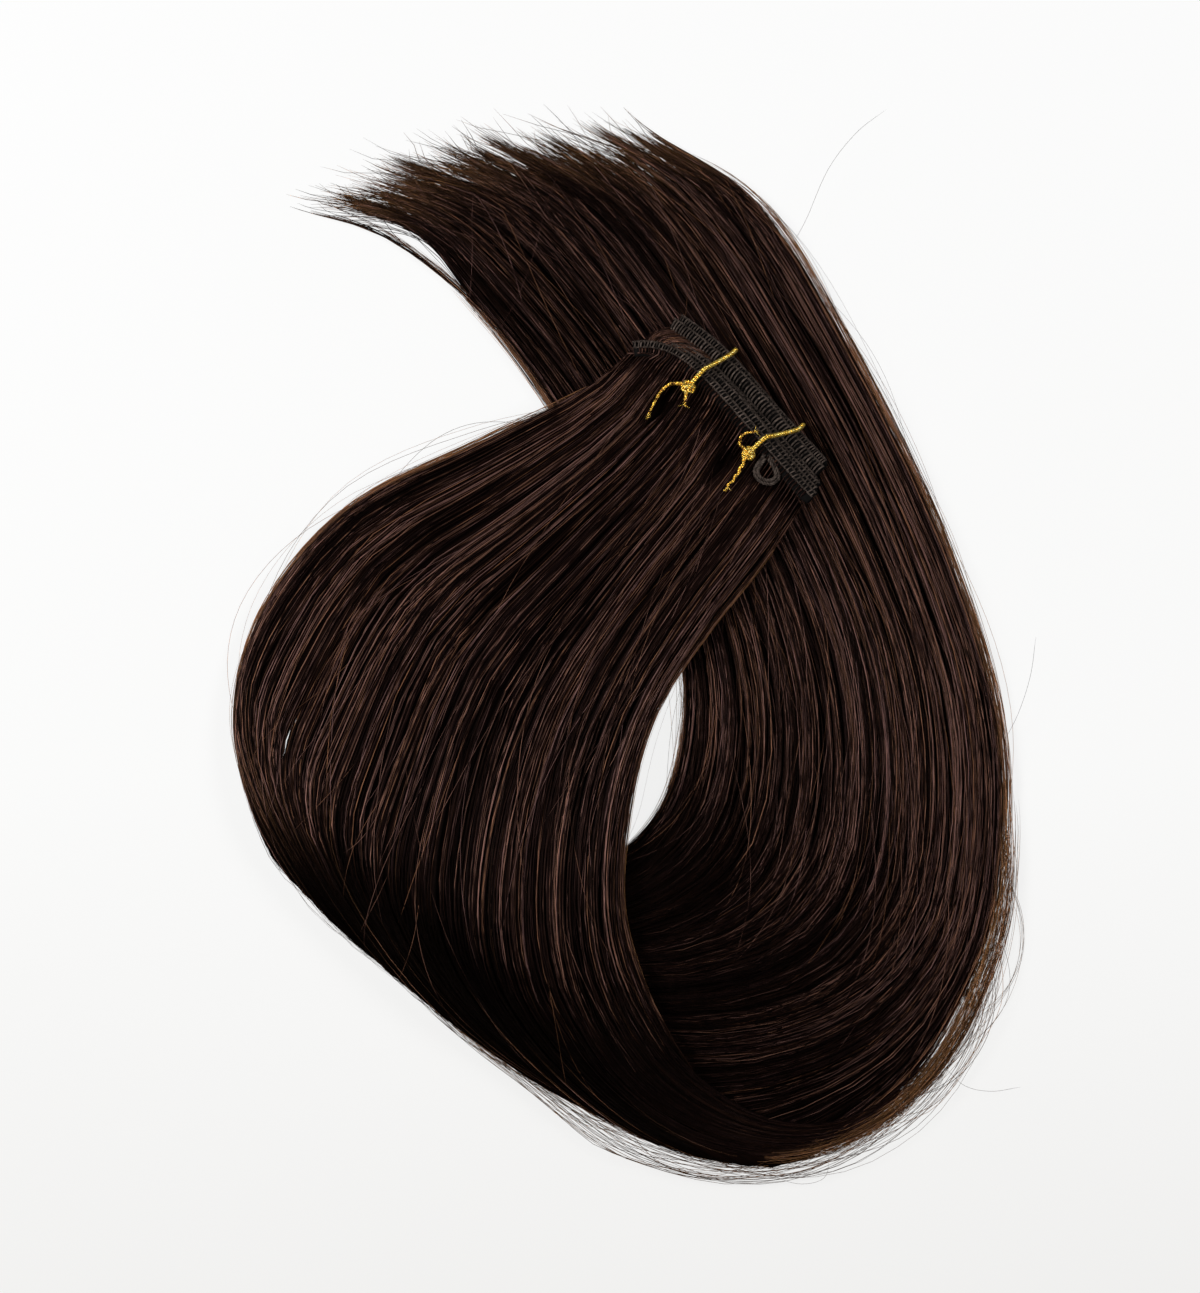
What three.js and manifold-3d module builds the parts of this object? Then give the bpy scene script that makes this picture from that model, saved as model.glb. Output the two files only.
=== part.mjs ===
// Hair weft: long straight hair machine-sewn to a stitched track. The track is folded back and forth into
// a short header, two gold cords are knotted round the header, and the hair is laid down in one loop: it
// sweeps away from the header, rolls under itself, runs back beneath the header and ends in ragged tips.
// Units are millimetres. +Z is up, the loop lies on Z = 0, and +Y points to the tips.
import * as THREE from "three";
import { mergeVertices } from "three/addons/utils/BufferGeometryUtils.js";
import Module from "manifold-3d";

const wasm = await Module();
wasm.setup();

// Driving dimensions
const CLEARANCE = 0.3; // gap between pieces that touch
const HAIR = {
  rings: 33, // cross-sections along the hair
  end: 14.7, // station where the band stops and only the tip locks go on
  endTaper: 1.1, // stations over which the band thins to that end
  endShare: 0.3, // thickness that is left there, as a share of the full one
  edgeShare: 0.3, // thickness at the side edges, as a share of the middle
  locks: 9, // locks across the band
  pointsPerLock: 4,
  valleyDepth: 0.9, // below the crowns of two locks that meet
  valleyShare: 0.6, // the most that a valley takes of half the thickness
  wander: 0.014, // how far a valley drifts sideways, as a share of the width
  rakeReach: 0.7, // stations over which the slanted root end evens out
};
const TIPS = {
  locks: 13,
  start: 13.6, // station inside the band where a tip lock begins
  shortest: 14.9, // stations of the shortest and the longest tip
  longest: 15.12,
  overlap: 1.3, // lock width as a share of its spacing
  sway: 0.012, // how far a tip leans sideways, as a share of the width
  point: 0.07, // size of a tip's point, as a share of the lock
  rise: 0.35, // how far a lock stands above the thinning band
  sides: 6,
  rings: 4,
};
const TRACK = {
  passes: 6,
  width: 4.4, // across the stitched strip, along the hair
  thick: 1.05,
  pitch: 1.25, // height from one pass to the next
  topHeight: 15.6, // middle of the uppermost pass
  steps: 8, // sections along one pass
};
const CORD = {
  diameter: 1.05,
  sides: 8,
  roundSteps: 24, // sections along the round of the header
  tailSteps: 2, // sections between two points of a tail
};
const KNOT = {
  radius: 1.35,
  cord: 0.45, // radius of the cord where the knot squeezes it
  seat: 2.8, // radius of the dent that the knot presses into the hair
  steps: 18,
  sides: 4,
};

// A table is a list of rows with named columns.
function table(columns, rows) {
  return rows.map((row) => Object.fromEntries(columns.map((name, i) => [name, row[i]])));
}

// The hair's course, one row for each section from the track to the tips. Four strands give the plan:
// left edge, one third, two thirds and right edge. lift is the height of the hair's underside at the left
// edge, the middle and the right edge, and thick is its thickness in the middle.
const COURSE = table(
  ["name", "leftX", "leftY", "thirdX", "thirdY", "twoThirdX", "twoThirdY", "rightX", "rightY",
    "liftLeft", "liftMiddle", "liftRight", "thick"],
  [
    ["root", 2, 81, 19, 75, 34, 58, 51, 39, 8.6, 8.6, 8.6, 7.4],
    ["comb", -10, 72.5, 6, 57, 22, 41, 41, 24, 8.2, 8.8, 8.4, 7.0],
    ["spread", -40, 58, -21, 32, 1, 15, 25, 4, 5.5, 9.2, 8.0, 6.4],
    ["slope", -78, 38.5, -51, 5, -20, -17, 10, -19, 2.5, 10.0, 7.6, 5.8],
    ["crest", -102, 10, -68, -31, -31, -54, 2.5, -47, 2.0, 11.2, 7.2, 5.4],
    ["brow", -108.5, -20, -76, -60, -31, -94, 2, -80, 3.5, 13.0, 7.2, 5.2],
    ["fold", -101, -53, -72, -84, -18, -122.5, 26, -126, 3.0, 7.0, 6.2, 5.0],
    ["turn", -63, -71, -28, -99, 16, -134, 52, -143, 0, 0, 0.8, 4.8],
    ["return", -19, -68, 14, -95, 49, -118, 79, -132, 0, 0, 0, 5.2],
    ["bend", 8.5, -48, 44, -71, 74, -90, 97, -107, 0, 0, 0, 5.8],
    ["flank", 17, -17, 52, -34, 82, -50, 107, -66, 0, 0, 0, 6.2],
    ["rise", 12, 13, 47, 4, 79, -8, 107, -25, 0, 0, 0, 6.4],
    ["under", -9, 50, 28, 45, 63, 35, 93, 24, 0, 0, 0, 6.4],
    ["beyond", -37, 90, 2, 86, 37, 83, 66, 81, 0, 0, 0, 5.6],
    ["ends", -66, 113.5, -28, 121, 8, 124, 40, 123.5, 0, 0, 0, 3.6],
    ["tips", -91, 121.5, -58, 135.5, -21, 143.5, 12, 142, 0, 0, 0, 1.2],
  ],
);
const LAST = COURSE.length - 1;
const FOLD = COURSE.findIndex((row) => row.name === "fold");
const TURN = COURSE.findIndex((row) => row.name === "turn");

// The back edge of the track's uppermost and lowest pass in plan, at four points from end to end.
const ROWS = table(
  ["name", "startX", "startY", "thirdX", "thirdY", "twoThirdX", "twoThirdY", "endX", "endY"],
  [
    ["uppermost", 3, 84, 21, 78, 37, 61, 54, 42],
    ["lowest", 17, 92, 31, 80, 45, 65, 57, 51],
  ],
);

// The track's sewn-back end, a teardrop loop that stands on edge in front of the header.
const END_LOOP = {
  height: 3.6,
  steps: 18,
  path: table(
    ["x", "y"],
    [[39.6, 52.6], [36.9, 48], [38.2, 45.4], [41.3, 44.4], [43.6, 46], [42.6, 49.6], [40.9, 52.4]],
  ),
};

// The two cords. back and front are places along the lowest and the uppermost pass, reach is how far the
// knot lies in front of the uppermost pass, and the tails leave the knot by steps in the plan and height.
const TIES = [
  {
    name: "tie_upper", back: 0.32, front: 0.375, reach: 6.6,
    tails: [
      table(["x", "y", "z"], [[-2.2, 0.9, 0.5], [-5.8, 0.2, 1.1], [-8.2, -2.4, 0.9], [-10.6, -7, 0.2]]),
      table(["x", "y", "z"], [[-0.4, -1.6, 0.2], [-0.9, -4.3, 0.1]]),
    ],
  },
  {
    name: "tie_lower", back: 0.78, front: 0.73, reach: 6.6,
    tails: [
      table(["x", "y", "z"], [[-0.9, -1.6, 0.3], [-2.4, -4.6, 0.6], [-3.6, -6.6, 0.6], [-5.8, -9.2, 0.1]]),
      table(["x", "y", "z"], [[-1.4, 1.3, 0.8], [-2.5, 3.2, 1.2], [-1.4, 5.2, 1.3], [1.4, 5.9, 1.0]]),
    ],
  },
];

// Hair partings that the knots pull open, as places on the course with their length, width and depth.
const PARTINGS = table(
  ["station", "across", "length", "width", "depth"],
  [
    [0.42, 0.3, 17, 3.4, 2.6],
    [0.4, 0.645, 14, 3.0, 2.4],
  ],
);

// Solids
function solidOf(geometry) {
  const bare = new THREE.BufferGeometry().setAttribute("position", geometry.getAttribute("position"));
  if (geometry.index) bare.setIndex(geometry.index);
  const merged = mergeVertices(bare, 1e-4);
  return new wasm.Manifold(
    new wasm.Mesh({
      numProp: 3,
      vertProperties: new Float32Array(merged.attributes.position.array),
      triVerts: new Uint32Array(merged.index.array),
    }),
  );
}

function geometryOf(solid) {
  const mesh = solid.getMesh();
  const geometry = new THREE.BufferGeometry();
  geometry.setAttribute("position", new THREE.BufferAttribute(mesh.vertProperties, 3));
  geometry.setIndex(new THREE.BufferAttribute(mesh.triVerts, 1));
  geometry.computeVertexNormals();
  return geometry;
}

function union(solids) {
  return solids.reduce((whole, next) => whole.add(next));
}

// A closed body through rings with equal numbers of points, each ring running once round the section.
function loft(rings) {
  const count = rings[0].length;
  const position = rings.flatMap((ring) => ring.flatMap((p) => [p.x, p.y, p.z]));
  const index = [];
  const quad = (a, b, c, d) => index.push(a, b, c, a, c, d);
  for (let r = 0; r < rings.length - 1; r++) {
    for (let i = 0; i < count; i++) {
      const next = (i + 1) % count;
      quad(r * count + i, r * count + next, (r + 1) * count + next, (r + 1) * count + i);
    }
  }
  const end = (rings.length - 1) * count;
  for (let i = 0; i < count / 2 - 1; i++) {
    const opposite = count - 1 - i;
    quad(i, opposite, opposite - 1, i + 1);
    quad(end + i, end + i + 1, end + opposite - 1, end + opposite);
  }
  const geometry = new THREE.BufferGeometry();
  geometry.setAttribute("position", new THREE.BufferAttribute(new Float32Array(position), 3));
  geometry.setIndex(index);
  return geometry;
}

// Curves
function smooth(points) {
  return new THREE.CatmullRomCurve3(points, false, "centripetal");
}

// A value at t from 0 to 1 through four values at 0, 1/3, 2/3 and 1.
function throughFour(a, b, c, d, t) {
  const u = 3 * t;
  return (
    (-a * (u - 1) * (u - 2) * (u - 3)) / 6 +
    (b * u * (u - 2) * (u - 3)) / 2 -
    (c * u * (u - 1) * (u - 3)) / 2 +
    (d * u * (u - 1) * (u - 2)) / 6
  );
}

// A value at t from 0 to 1 through three values at 0, 1/2 and 1.
function throughThree(a, b, c, t) {
  return a * (1 - t) * (1 - 2 * t) + b * 4 * t * (1 - t) + c * t * (2 * t - 1);
}

// The band is full in the middle and thins to its edges.
function fullness(t) {
  const side = 2 * t - 1;
  return HAIR.edgeShare + (1 - HAIR.edgeShare) * Math.pow(Math.max(0, 1 - side ** 4), 0.6);
}

// One strand of the course at t across the band: its path and its thickness at each station.
const strands = new Map();
function strand(t) {
  const key = t.toFixed(5);
  if (!strands.has(key)) {
    const thick = COURSE.map((row) => row.thick * fullness(t));
    const points = COURSE.map((row, i) => {
      const x = throughFour(row.leftX, row.thirdX, row.twoThirdX, row.rightX, t);
      const y = throughFour(row.leftY, row.thirdY, row.twoThirdY, row.rightY, t);
      const lift = throughThree(row.liftLeft, row.liftMiddle, row.liftRight, t);
      return new THREE.Vector3(x, y, lift + thick[i] / 2);
    });
    strands.set(key, { path: smooth(points), thick: smooth(thick.map((h) => new THREE.Vector3(h, 0, 0))) });
  }
  return strands.get(key);
}

// A point on the middle of the hair at a station from 0 to LAST, or straight on past the tips.
function middle(station, t) {
  const { path } = strand(t);
  if (station <= LAST) return path.getPoint(station / LAST);
  const end = path.getPoint(1);
  const before = path.getPoint(1 - 0.25 / LAST);
  return end.clone().addScaledVector(end.clone().sub(before), (station - LAST) / 0.25);
}

function thickness(station, t) {
  return strand(t).thick.getPoint(Math.min(station, LAST) / LAST).x;
}

// Half the band's thickness, which thins to the end of the band.
function halfBand(station, t) {
  const into = THREE.MathUtils.smoothstep(station, HAIR.end - HAIR.endTaper, HAIR.end);
  return (thickness(station, t) / 2) * THREE.MathUtils.lerp(1, HAIR.endShare, into);
}

// Unit vectors along the hair, across it and out of its upper face.
function frameAt(station, t) {
  const ds = 0.02;
  const dt = 0.004;
  const from = Math.max(0, station - ds);
  const along = middle(Math.min(LAST, station + ds), t).sub(middle(from, t)).normalize();
  const across = middle(station, Math.min(1, t + dt)).sub(middle(station, Math.max(0, t - dt))).normalize();
  const out = along.clone().cross(across).normalize();
  return { along, across, out };
}

// The depth below a lock's crown, with a valley at every lock edge. The valleys fade at the root, where the
// strip gathers the hair, and over the fold, where the locks press together.
function valley(t, station) {
  const phase = t * HAIR.locks;
  const lock = Math.floor(phase);
  const crown = Math.sqrt(Math.abs(Math.sin(Math.PI * phase)));
  const depth = HAIR.valleyDepth * (0.7 + 0.3 * Math.sin(2.1 * lock + 0.4 * station));
  const rootFade = THREE.MathUtils.smoothstep(station, 0, 2);
  const foldFade = THREE.MathUtils.smoothstep(Math.abs(station - FOLD), 0.4, 1.6);
  return depth * (1 - crown) * rootFade * foldFade;
}

// How far the lowest hair starts behind the highest: each pass of the track lies behind the one above it.
function rootRake(t) {
  const step = rowEdge(TRACK.passes - 1, t).sub(rowEdge(0, t));
  return Math.hypot(step.x, step.y) - TRACK.thick;
}

// A ring round the hair band at a station. The outer face is on top until the fold and then lies flat on
// the ground, so the locks show on it before the fold and on the inner face after it.
function bandRing(station) {
  const count = HAIR.locks * HAIR.pointsPerLock;
  const slant = Math.max(0, 1 - station / HAIR.rakeReach) ** 2;
  const outer = [];
  const inner = [];
  for (let i = 0; i <= count; i++) {
    const even = i / count;
    const drift = Math.sin(Math.PI * even) * Math.sin(1.1 * station + 9 * even);
    const t = even + HAIR.wander * drift;
    const { along, out } = frameAt(station, t);
    const centre = middle(station, t);
    const half = halfBand(station, t);
    const grooved = half - Math.min(HAIR.valleyShare * half, valley(even, station));
    const outerPoint = centre.clone().addScaledVector(out, station < FOLD ? grooved : half);
    const innerPoint = centre.clone().addScaledVector(out, station < FOLD ? -half : -grooved);
    innerPoint.addScaledVector(along, -slant * rootRake(t));
    outerPoint.z = station < TURN ? Math.max(0, outerPoint.z) : 0;
    innerPoint.z = Math.max(0, innerPoint.z);
    outer.unshift(outerPoint);
    inner.push(innerPoint);
  }
  return [...outer, ...inner];
}

function hairBand() {
  const rings = [];
  for (let r = 0; r <= HAIR.rings; r++) rings.push(bandRing((HAIR.end * r) / HAIR.rings));
  return solidOf(loft(rings));
}

// One lock that swells inside the band, leaves its end and narrows to a point.
function tipLock(i) {
  const ragged = 0.5 + 0.5 * Math.sin(2.4 * i + 0.6);
  const end = THREE.MathUtils.lerp(TIPS.shortest, TIPS.longest, ragged);
  const lean = TIPS.sway * Math.sin(1.9 * i);
  const rings = [];
  for (let r = 0; r <= TIPS.rings; r++) {
    const share = r / TIPS.rings;
    const station = THREE.MathUtils.lerp(TIPS.start, end, share);
    const t = THREE.MathUtils.clamp((i + 0.5) / TIPS.locks + lean * share ** 2, TIPS.sway, 1 - TIPS.sway);
    const { across, out } = frameAt(Math.min(station, LAST), t);
    const swell = Math.min(1, 0.45 + 1.6 * share);
    const size = swell * Math.max(TIPS.point, Math.sqrt(1 - share ** 3));
    const bandWidth = middle(station, 0).distanceTo(middle(station, 1));
    const halfWidth = (size * TIPS.overlap * bandWidth) / TIPS.locks / 2;
    const halfThick = size * (TIPS.rise + 0.42 * thickness(station, t));
    const centre = middle(station, t);
    centre.z = Math.max(centre.z, halfThick);
    const ring = [];
    for (let side = 0; side < TIPS.sides; side++) {
      const angle = (2 * Math.PI * (side + 0.5)) / TIPS.sides;
      const point = centre.clone().addScaledVector(across, halfWidth * Math.cos(angle));
      ring.push(point.addScaledVector(out, halfThick * Math.sin(angle)));
    }
    rings.push(ring);
  }
  return solidOf(loft(rings));
}

// A lens-shaped hollow along the hair, for a parting in its upper face.
function parting({ station, across, length, width, depth }) {
  const { along, across: side, out } = frameAt(station, across);
  const lens = new THREE.SphereGeometry(1, 12, 8);
  const matrix = new THREE.Matrix4().makeBasis(
    along.clone().multiplyScalar(length / 2),
    side.clone().multiplyScalar(width / 2),
    out.clone().multiplyScalar(depth),
  );
  const surface = middle(station, across).addScaledVector(out, thickness(station, across) / 2);
  return solidOf(lens.applyMatrix4(matrix.setPosition(surface)));
}

// Track
function rowEdge(pass, share) {
  const back = pass / (TRACK.passes - 1);
  const [top, bottom] = ROWS;
  const at = (name) => THREE.MathUtils.lerp(top[name], bottom[name], back);
  return new THREE.Vector3(
    throughFour(at("startX"), at("thirdX"), at("twoThirdX"), at("endX"), share),
    throughFour(at("startY"), at("thirdY"), at("twoThirdY"), at("endY"), share),
    TRACK.topHeight - pass * TRACK.pitch,
  );
}

// The level direction from a pass towards its hair.
function hairward(pass, share) {
  const row = rowEdge(pass, Math.min(1, share + 0.01)).sub(rowEdge(pass, Math.max(0, share - 0.01)));
  return new THREE.Vector3(row.y, -row.x, 0).normalize();
}

// The folded strip: each pass runs from end to end and turns over into the next one below it.
function foldedStrip(grow) {
  const rings = [];
  const half = TRACK.thick / 2 + grow;
  const section = (edge, front, normal) => {
    const back = edge.clone().addScaledVector(front, -grow);
    const fore = edge.clone().addScaledVector(front, TRACK.width + grow);
    rings.push([
      back.clone().addScaledVector(normal, half),
      fore.clone().addScaledVector(normal, half),
      fore.clone().addScaledVector(normal, -half),
      back.clone().addScaledVector(normal, -half),
    ]);
  };
  for (let pass = 0; pass < TRACK.passes; pass++) {
    const forward = pass % 2 === 0;
    const side = forward ? 1 : -1;
    for (let i = 0; i <= TRACK.steps; i++) {
      const share = forward ? i / TRACK.steps : 1 - i / TRACK.steps;
      section(rowEdge(pass, share), hairward(pass, share), new THREE.Vector3(0, 0, side));
    }
    if (pass === TRACK.passes - 1) break;
    const end = forward ? 1 : 0;
    for (const turn of [45, 90, 135]) {
      const angle = THREE.MathUtils.degToRad(turn);
      const edge = rowEdge(pass + turn / 180, end);
      const front = hairward(pass + turn / 180, end);
      const outward = new THREE.Vector3(-front.y, front.x, 0).multiplyScalar(side);
      const normal = new THREE.Vector3(0, 0, side * Math.cos(angle));
      normal.addScaledVector(outward, side * Math.sin(angle));
      edge.z = TRACK.topHeight - (pass + 0.5) * TRACK.pitch + (TRACK.pitch / 2) * Math.cos(angle);
      edge.addScaledVector(outward, (TRACK.pitch / 2) * Math.sin(angle));
      section(edge, front, normal);
    }
  }
  return solidOf(loft(rings));
}

// The track's sewn-back end, a strip on edge that bends round into a teardrop.
function endLoop(grow) {
  const bottom = TRACK.topHeight - TRACK.thick / 2 - grow;
  const path = smooth(END_LOOP.path.map((p) => new THREE.Vector3(p.x, p.y, bottom)));
  const half = TRACK.thick / 2 + grow;
  const rings = [];
  for (let i = 0; i <= END_LOOP.steps; i++) {
    const p = path.getPoint(i / END_LOOP.steps);
    const along = path.getTangent(i / END_LOOP.steps);
    const side = new THREE.Vector3(-along.y, along.x, 0).normalize();
    const rise = new THREE.Vector3(0, 0, END_LOOP.height + 2 * grow);
    const left = p.clone().addScaledVector(side, half);
    const right = p.clone().addScaledVector(side, -half);
    rings.push([left, left.clone().add(rise), right.clone().add(rise), right]);
  }
  return solidOf(loft(rings));
}

function trackSolid(grow = 0) {
  return foldedStrip(grow).add(endLoop(grow));
}

// Cords
function tube(points, radius, steps) {
  const circle = new THREE.Shape();
  for (let s = 0; s < CORD.sides; s++) {
    const angle = (2 * Math.PI * s) / CORD.sides;
    const corner = [radius * Math.cos(angle), radius * Math.sin(angle)];
    if (s === 0) circle.moveTo(...corner);
    else circle.lineTo(...corner);
  }
  circle.closePath();
  const settings = { steps, bevelEnabled: false, extrudePath: smooth(points) };
  return solidOf(new THREE.ExtrudeGeometry(circle, settings));
}

function knotAt(tie) {
  const edge = rowEdge(0, tie.front);
  const knot = edge.addScaledVector(hairward(0, tie.front), tie.reach);
  knot.z = TRACK.topHeight + TRACK.thick / 2 + CORD.diameter;
  return knot;
}

// The cord's round: from the knot back over the stepped passes, under them and up through the hair.
function tieRound(tie) {
  const clear = TRACK.thick / 2 + CLEARANCE + CORD.diameter / 2;
  const slack = 0.5; // room for the cord to rise over the edges of the steps
  const knot = knotAt(tie);
  const last = TRACK.passes - 1;
  const over = (pass) => {
    const share = THREE.MathUtils.lerp(tie.front, tie.back, pass / last);
    return rowEdge(pass, share).add(new THREE.Vector3(0, 0, clear + slack));
  };
  const backEdge = rowEdge(last, tie.back);
  const behind = hairward(last, tie.back).multiplyScalar(-clear - slack / 2);
  const back = backEdge.clone().add(behind);
  const backUnder = backEdge.clone().addScaledVector(behind, 0.3);
  backUnder.z -= clear;
  const frontUnder = knot.clone().addScaledVector(hairward(0, tie.front), 0.8);
  frontUnder.z = backUnder.z;
  const front = knot.clone().addScaledVector(hairward(0, tie.front), 1.3);
  front.z = (knot.z + frontUnder.z) / 2;
  return [knot, over(0), over(2.5), over(last), back, backUnder, frontUnder, front, knot];
}

// The cord's round and its two tails, without the knot.
function tieCord(tie, radius) {
  const knot = knotAt(tie);
  const round = tube(tieRound(tie), radius, CORD.roundSteps);
  const tails = tie.tails.map((steps) => {
    const points = steps.map((p) => new THREE.Vector3(p.x, p.y, p.z).add(knot));
    return tube([knot, ...points], radius, CORD.tailSteps * points.length);
  });
  return union([round, ...tails]);
}

// The cord with its knot, a trefoil pulled tight.
function tieSolid(tie) {
  const place = knotAt(tie).toArray();
  const knot = new THREE.TorusKnotGeometry(KNOT.radius, KNOT.cord, KNOT.steps, KNOT.sides, 2, 3);
  const core = new THREE.SphereGeometry(KNOT.radius, 6, 4);
  const lump = solidOf(knot.translate(...place)).add(solidOf(core.translate(...place)));
  return tieCord(tie, CORD.diameter / 2).add(lump);
}

// The room that a tie takes in the hair.
function tieSeat(tie) {
  const seat = new THREE.SphereGeometry(KNOT.seat, 10, 8).translate(...knotAt(tie).toArray());
  return tieCord(tie, CORD.diameter / 2 + CLEARANCE).add(solidOf(seat));
}

// Assembly
function hairSolid() {
  const locks = Array.from({ length: TIPS.locks }, (_, i) => tipLock(i));
  const full = union([hairBand(), ...locks]);
  const gaps = [trackSolid(CLEARANCE), ...TIES.map(tieSeat), ...PARTINGS.map(parting)];
  return full.subtract(union(gaps));
}

const LOOKS = {
  hair: { color: 0x24160f, roughness: 0.45, metalness: 0 },
  thread: { color: 0x2c2622, roughness: 0.8, metalness: 0 },
  gold: { color: 0xd9a32b, roughness: 0.3, metalness: 1 },
};

function piece(name, solid, look) {
  const mesh = new THREE.Mesh(geometryOf(solid), new THREE.MeshStandardMaterial(look));
  mesh.name = name;
  return mesh;
}

const weft = new THREE.Group();
weft.name = "hair_weft";
weft.add(piece("hair", hairSolid(), LOOKS.hair));
weft.add(piece("weft_track", trackSolid(), LOOKS.thread));
for (const tie of TIES) weft.add(piece(tie.name, tieSolid(tie), LOOKS.gold));

export default weft;
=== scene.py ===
"""A hair weft laid down in one loop on a pale floor, dressed strand by strand over its CAD frame."""

import math

import bpy
import numpy as np
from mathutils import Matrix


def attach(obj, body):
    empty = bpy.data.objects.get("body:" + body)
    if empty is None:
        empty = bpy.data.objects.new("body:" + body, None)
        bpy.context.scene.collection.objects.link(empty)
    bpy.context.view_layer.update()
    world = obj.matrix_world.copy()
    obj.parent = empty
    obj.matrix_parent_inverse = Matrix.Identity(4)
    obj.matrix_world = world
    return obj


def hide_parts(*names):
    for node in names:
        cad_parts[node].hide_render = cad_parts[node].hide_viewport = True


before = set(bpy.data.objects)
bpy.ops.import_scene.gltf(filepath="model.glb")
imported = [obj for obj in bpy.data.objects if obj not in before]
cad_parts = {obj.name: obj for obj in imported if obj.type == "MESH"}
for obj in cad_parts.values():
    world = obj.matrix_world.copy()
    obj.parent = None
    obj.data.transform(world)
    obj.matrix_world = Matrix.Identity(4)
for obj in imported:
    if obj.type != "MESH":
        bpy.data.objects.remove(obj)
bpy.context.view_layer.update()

# Lengths in this script are millimetres until add_piece() turns them into metres.
METRES = 0.001

# The photograph's height in pixels, a pixel's size, and the camera straight above the middle of the picture
IMAGE_HEIGHT = 1293
PIXEL = 0.28
VIEW_CENTRE = (-6.0, -0.7)
CAMERA_HEIGHT = 2000.0
SENSOR = 36.0

# The hair's course, one row for each station from the track to the tips: four points across in plan from
# the left edge to the right one, the height of the underside at the left edge, middle and right edge, and
# the thickness in the middle.
COURSE = np.array([
    [2, 81, 19, 75, 34, 58, 51, 39, 8.6, 8.6, 8.6, 7.4],
    [-10, 72.5, 6, 57, 22, 41, 41, 24, 8.2, 8.8, 8.4, 7.0],
    [-40, 58, -21, 32, 1, 15, 25, 4, 5.5, 9.2, 8.0, 6.4],
    [-78, 38.5, -51, 5, -20, -17, 10, -19, 2.5, 10.0, 7.6, 5.8],
    [-102, 10, -68, -31, -31, -54, 2.5, -47, 2.0, 11.2, 7.2, 5.4],
    [-108.5, -20, -76, -60, -31, -94, 2, -80, 3.5, 13.0, 7.2, 5.2],
    [-101, -53, -72, -84, -18, -122.5, 26, -126, 3.0, 7.0, 6.2, 5.0],
    [-63, -71, -28, -99, 16, -134, 52, -143, 0, 0, 0.8, 4.8],
    [-19, -68, 14, -95, 49, -118, 79, -132, 0, 0, 0, 5.2],
    [8.5, -48, 44, -71, 74, -90, 97, -107, 0, 0, 0, 5.8],
    [17, -17, 52, -34, 82, -50, 107, -66, 0, 0, 0, 6.2],
    [12, 13, 47, 4, 79, -8, 107, -25, 0, 0, 0, 6.4],
    [-9, 50, 28, 45, 63, 35, 93, 24, 0, 0, 0, 6.4],
    [-37, 90, 2, 86, 37, 83, 66, 81, 0, 0, 0, 5.6],
    [-66, 113.5, -28, 121, 8, 124, 40, 123.5, 0, 0, 0, 3.6],
    [-91, 121.5, -58, 135.5, -21, 143.5, 12, 142, 0, 0, 0, 1.2],
])
PLAN = COURSE[:, :8].reshape(-1, 4, 2)
LIFT = COURSE[:, 8:11]
THICK = COURSE[:, 11]
# The stations where the hair folds under and where it ends
FOLD = 7
TIPS = len(COURSE) - 1
# How thick the side edges are next to the middle, and how far everything stays above the floor
EDGE_SHARE = 0.3
FLOOR_GAP = 0.2

# How many locks and wisps there are in each sweep, and tufts at the tips
LOCKS = 54
WISPS = 400
TUFTS = 27
# How many points each kind of strand has
POINTS_UPPER = 22
POINTS_LOWER = 24
POINTS_TIP = 10
POINTS_EDGE = 20
POINTS_STRAY = 14
POINTS_LOOSE = 30
# How fast the upper sweep's strands turn along the roll, from which share to the left of the hair others
# fill up behind them, and how softly these join at the left edge
ROLL_TURN = 0.09
ROLL_HOME = -0.3
EDGE_SOFT = 0.012
# Up to which share the thin lock reaches that lies apart at the inner edge of the tips
LONE_LOCK = 0.012
# How far slack strands may stand out of the side edges
MOST_SLACK = 6.5
# How fast the lower sweep's strands fan out as they leave the fold, and over how many stations that stops
FAN = 0.8
FAN_SOFT = 0.35
# How much painted shade darkens the strands on the roll's far side, and how much painted shadow darkens
# them under its lip
ROLL_SHADE = 0.97
LIP_SHADE = 0.58
# How many streaks lie side by side on the dark mass below the strands
CORE_GRAIN = 330
# How far apart in the noise two strands lie, and how often a strand's painted light and shade flickers from
# station to station
STRAND_APART = 900.0
FLICKER_RATE = 4.5
# How much the painted shadow of the upper sweep's right edge darkens the hair under it, and how far it
# reaches
EDGE_SHADE = 0.6
EDGE_SHADE_REACH = 3.0
# The slit near the left edge that shows the floor
SLIT_STATION = 4.6
SLIT_SHARE = 0.15
SLIT_LENGTH = 0.3
SLIT_WIDTH = 0.0055
# Partings at the two knots and the slit: station, share, half length in stations, half width in shares
# and depth
PARTINGS = [
    (0.5, 0.3, 0.42, 0.03, 3.0),
    (0.42, 0.655, 0.3, 0.022, 2.6),
    (SLIT_STATION, SLIT_SHARE, 0.35, 0.6 * SLIT_WIDTH, 0.0),
]
SMALL_PARTINGS = 130
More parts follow.
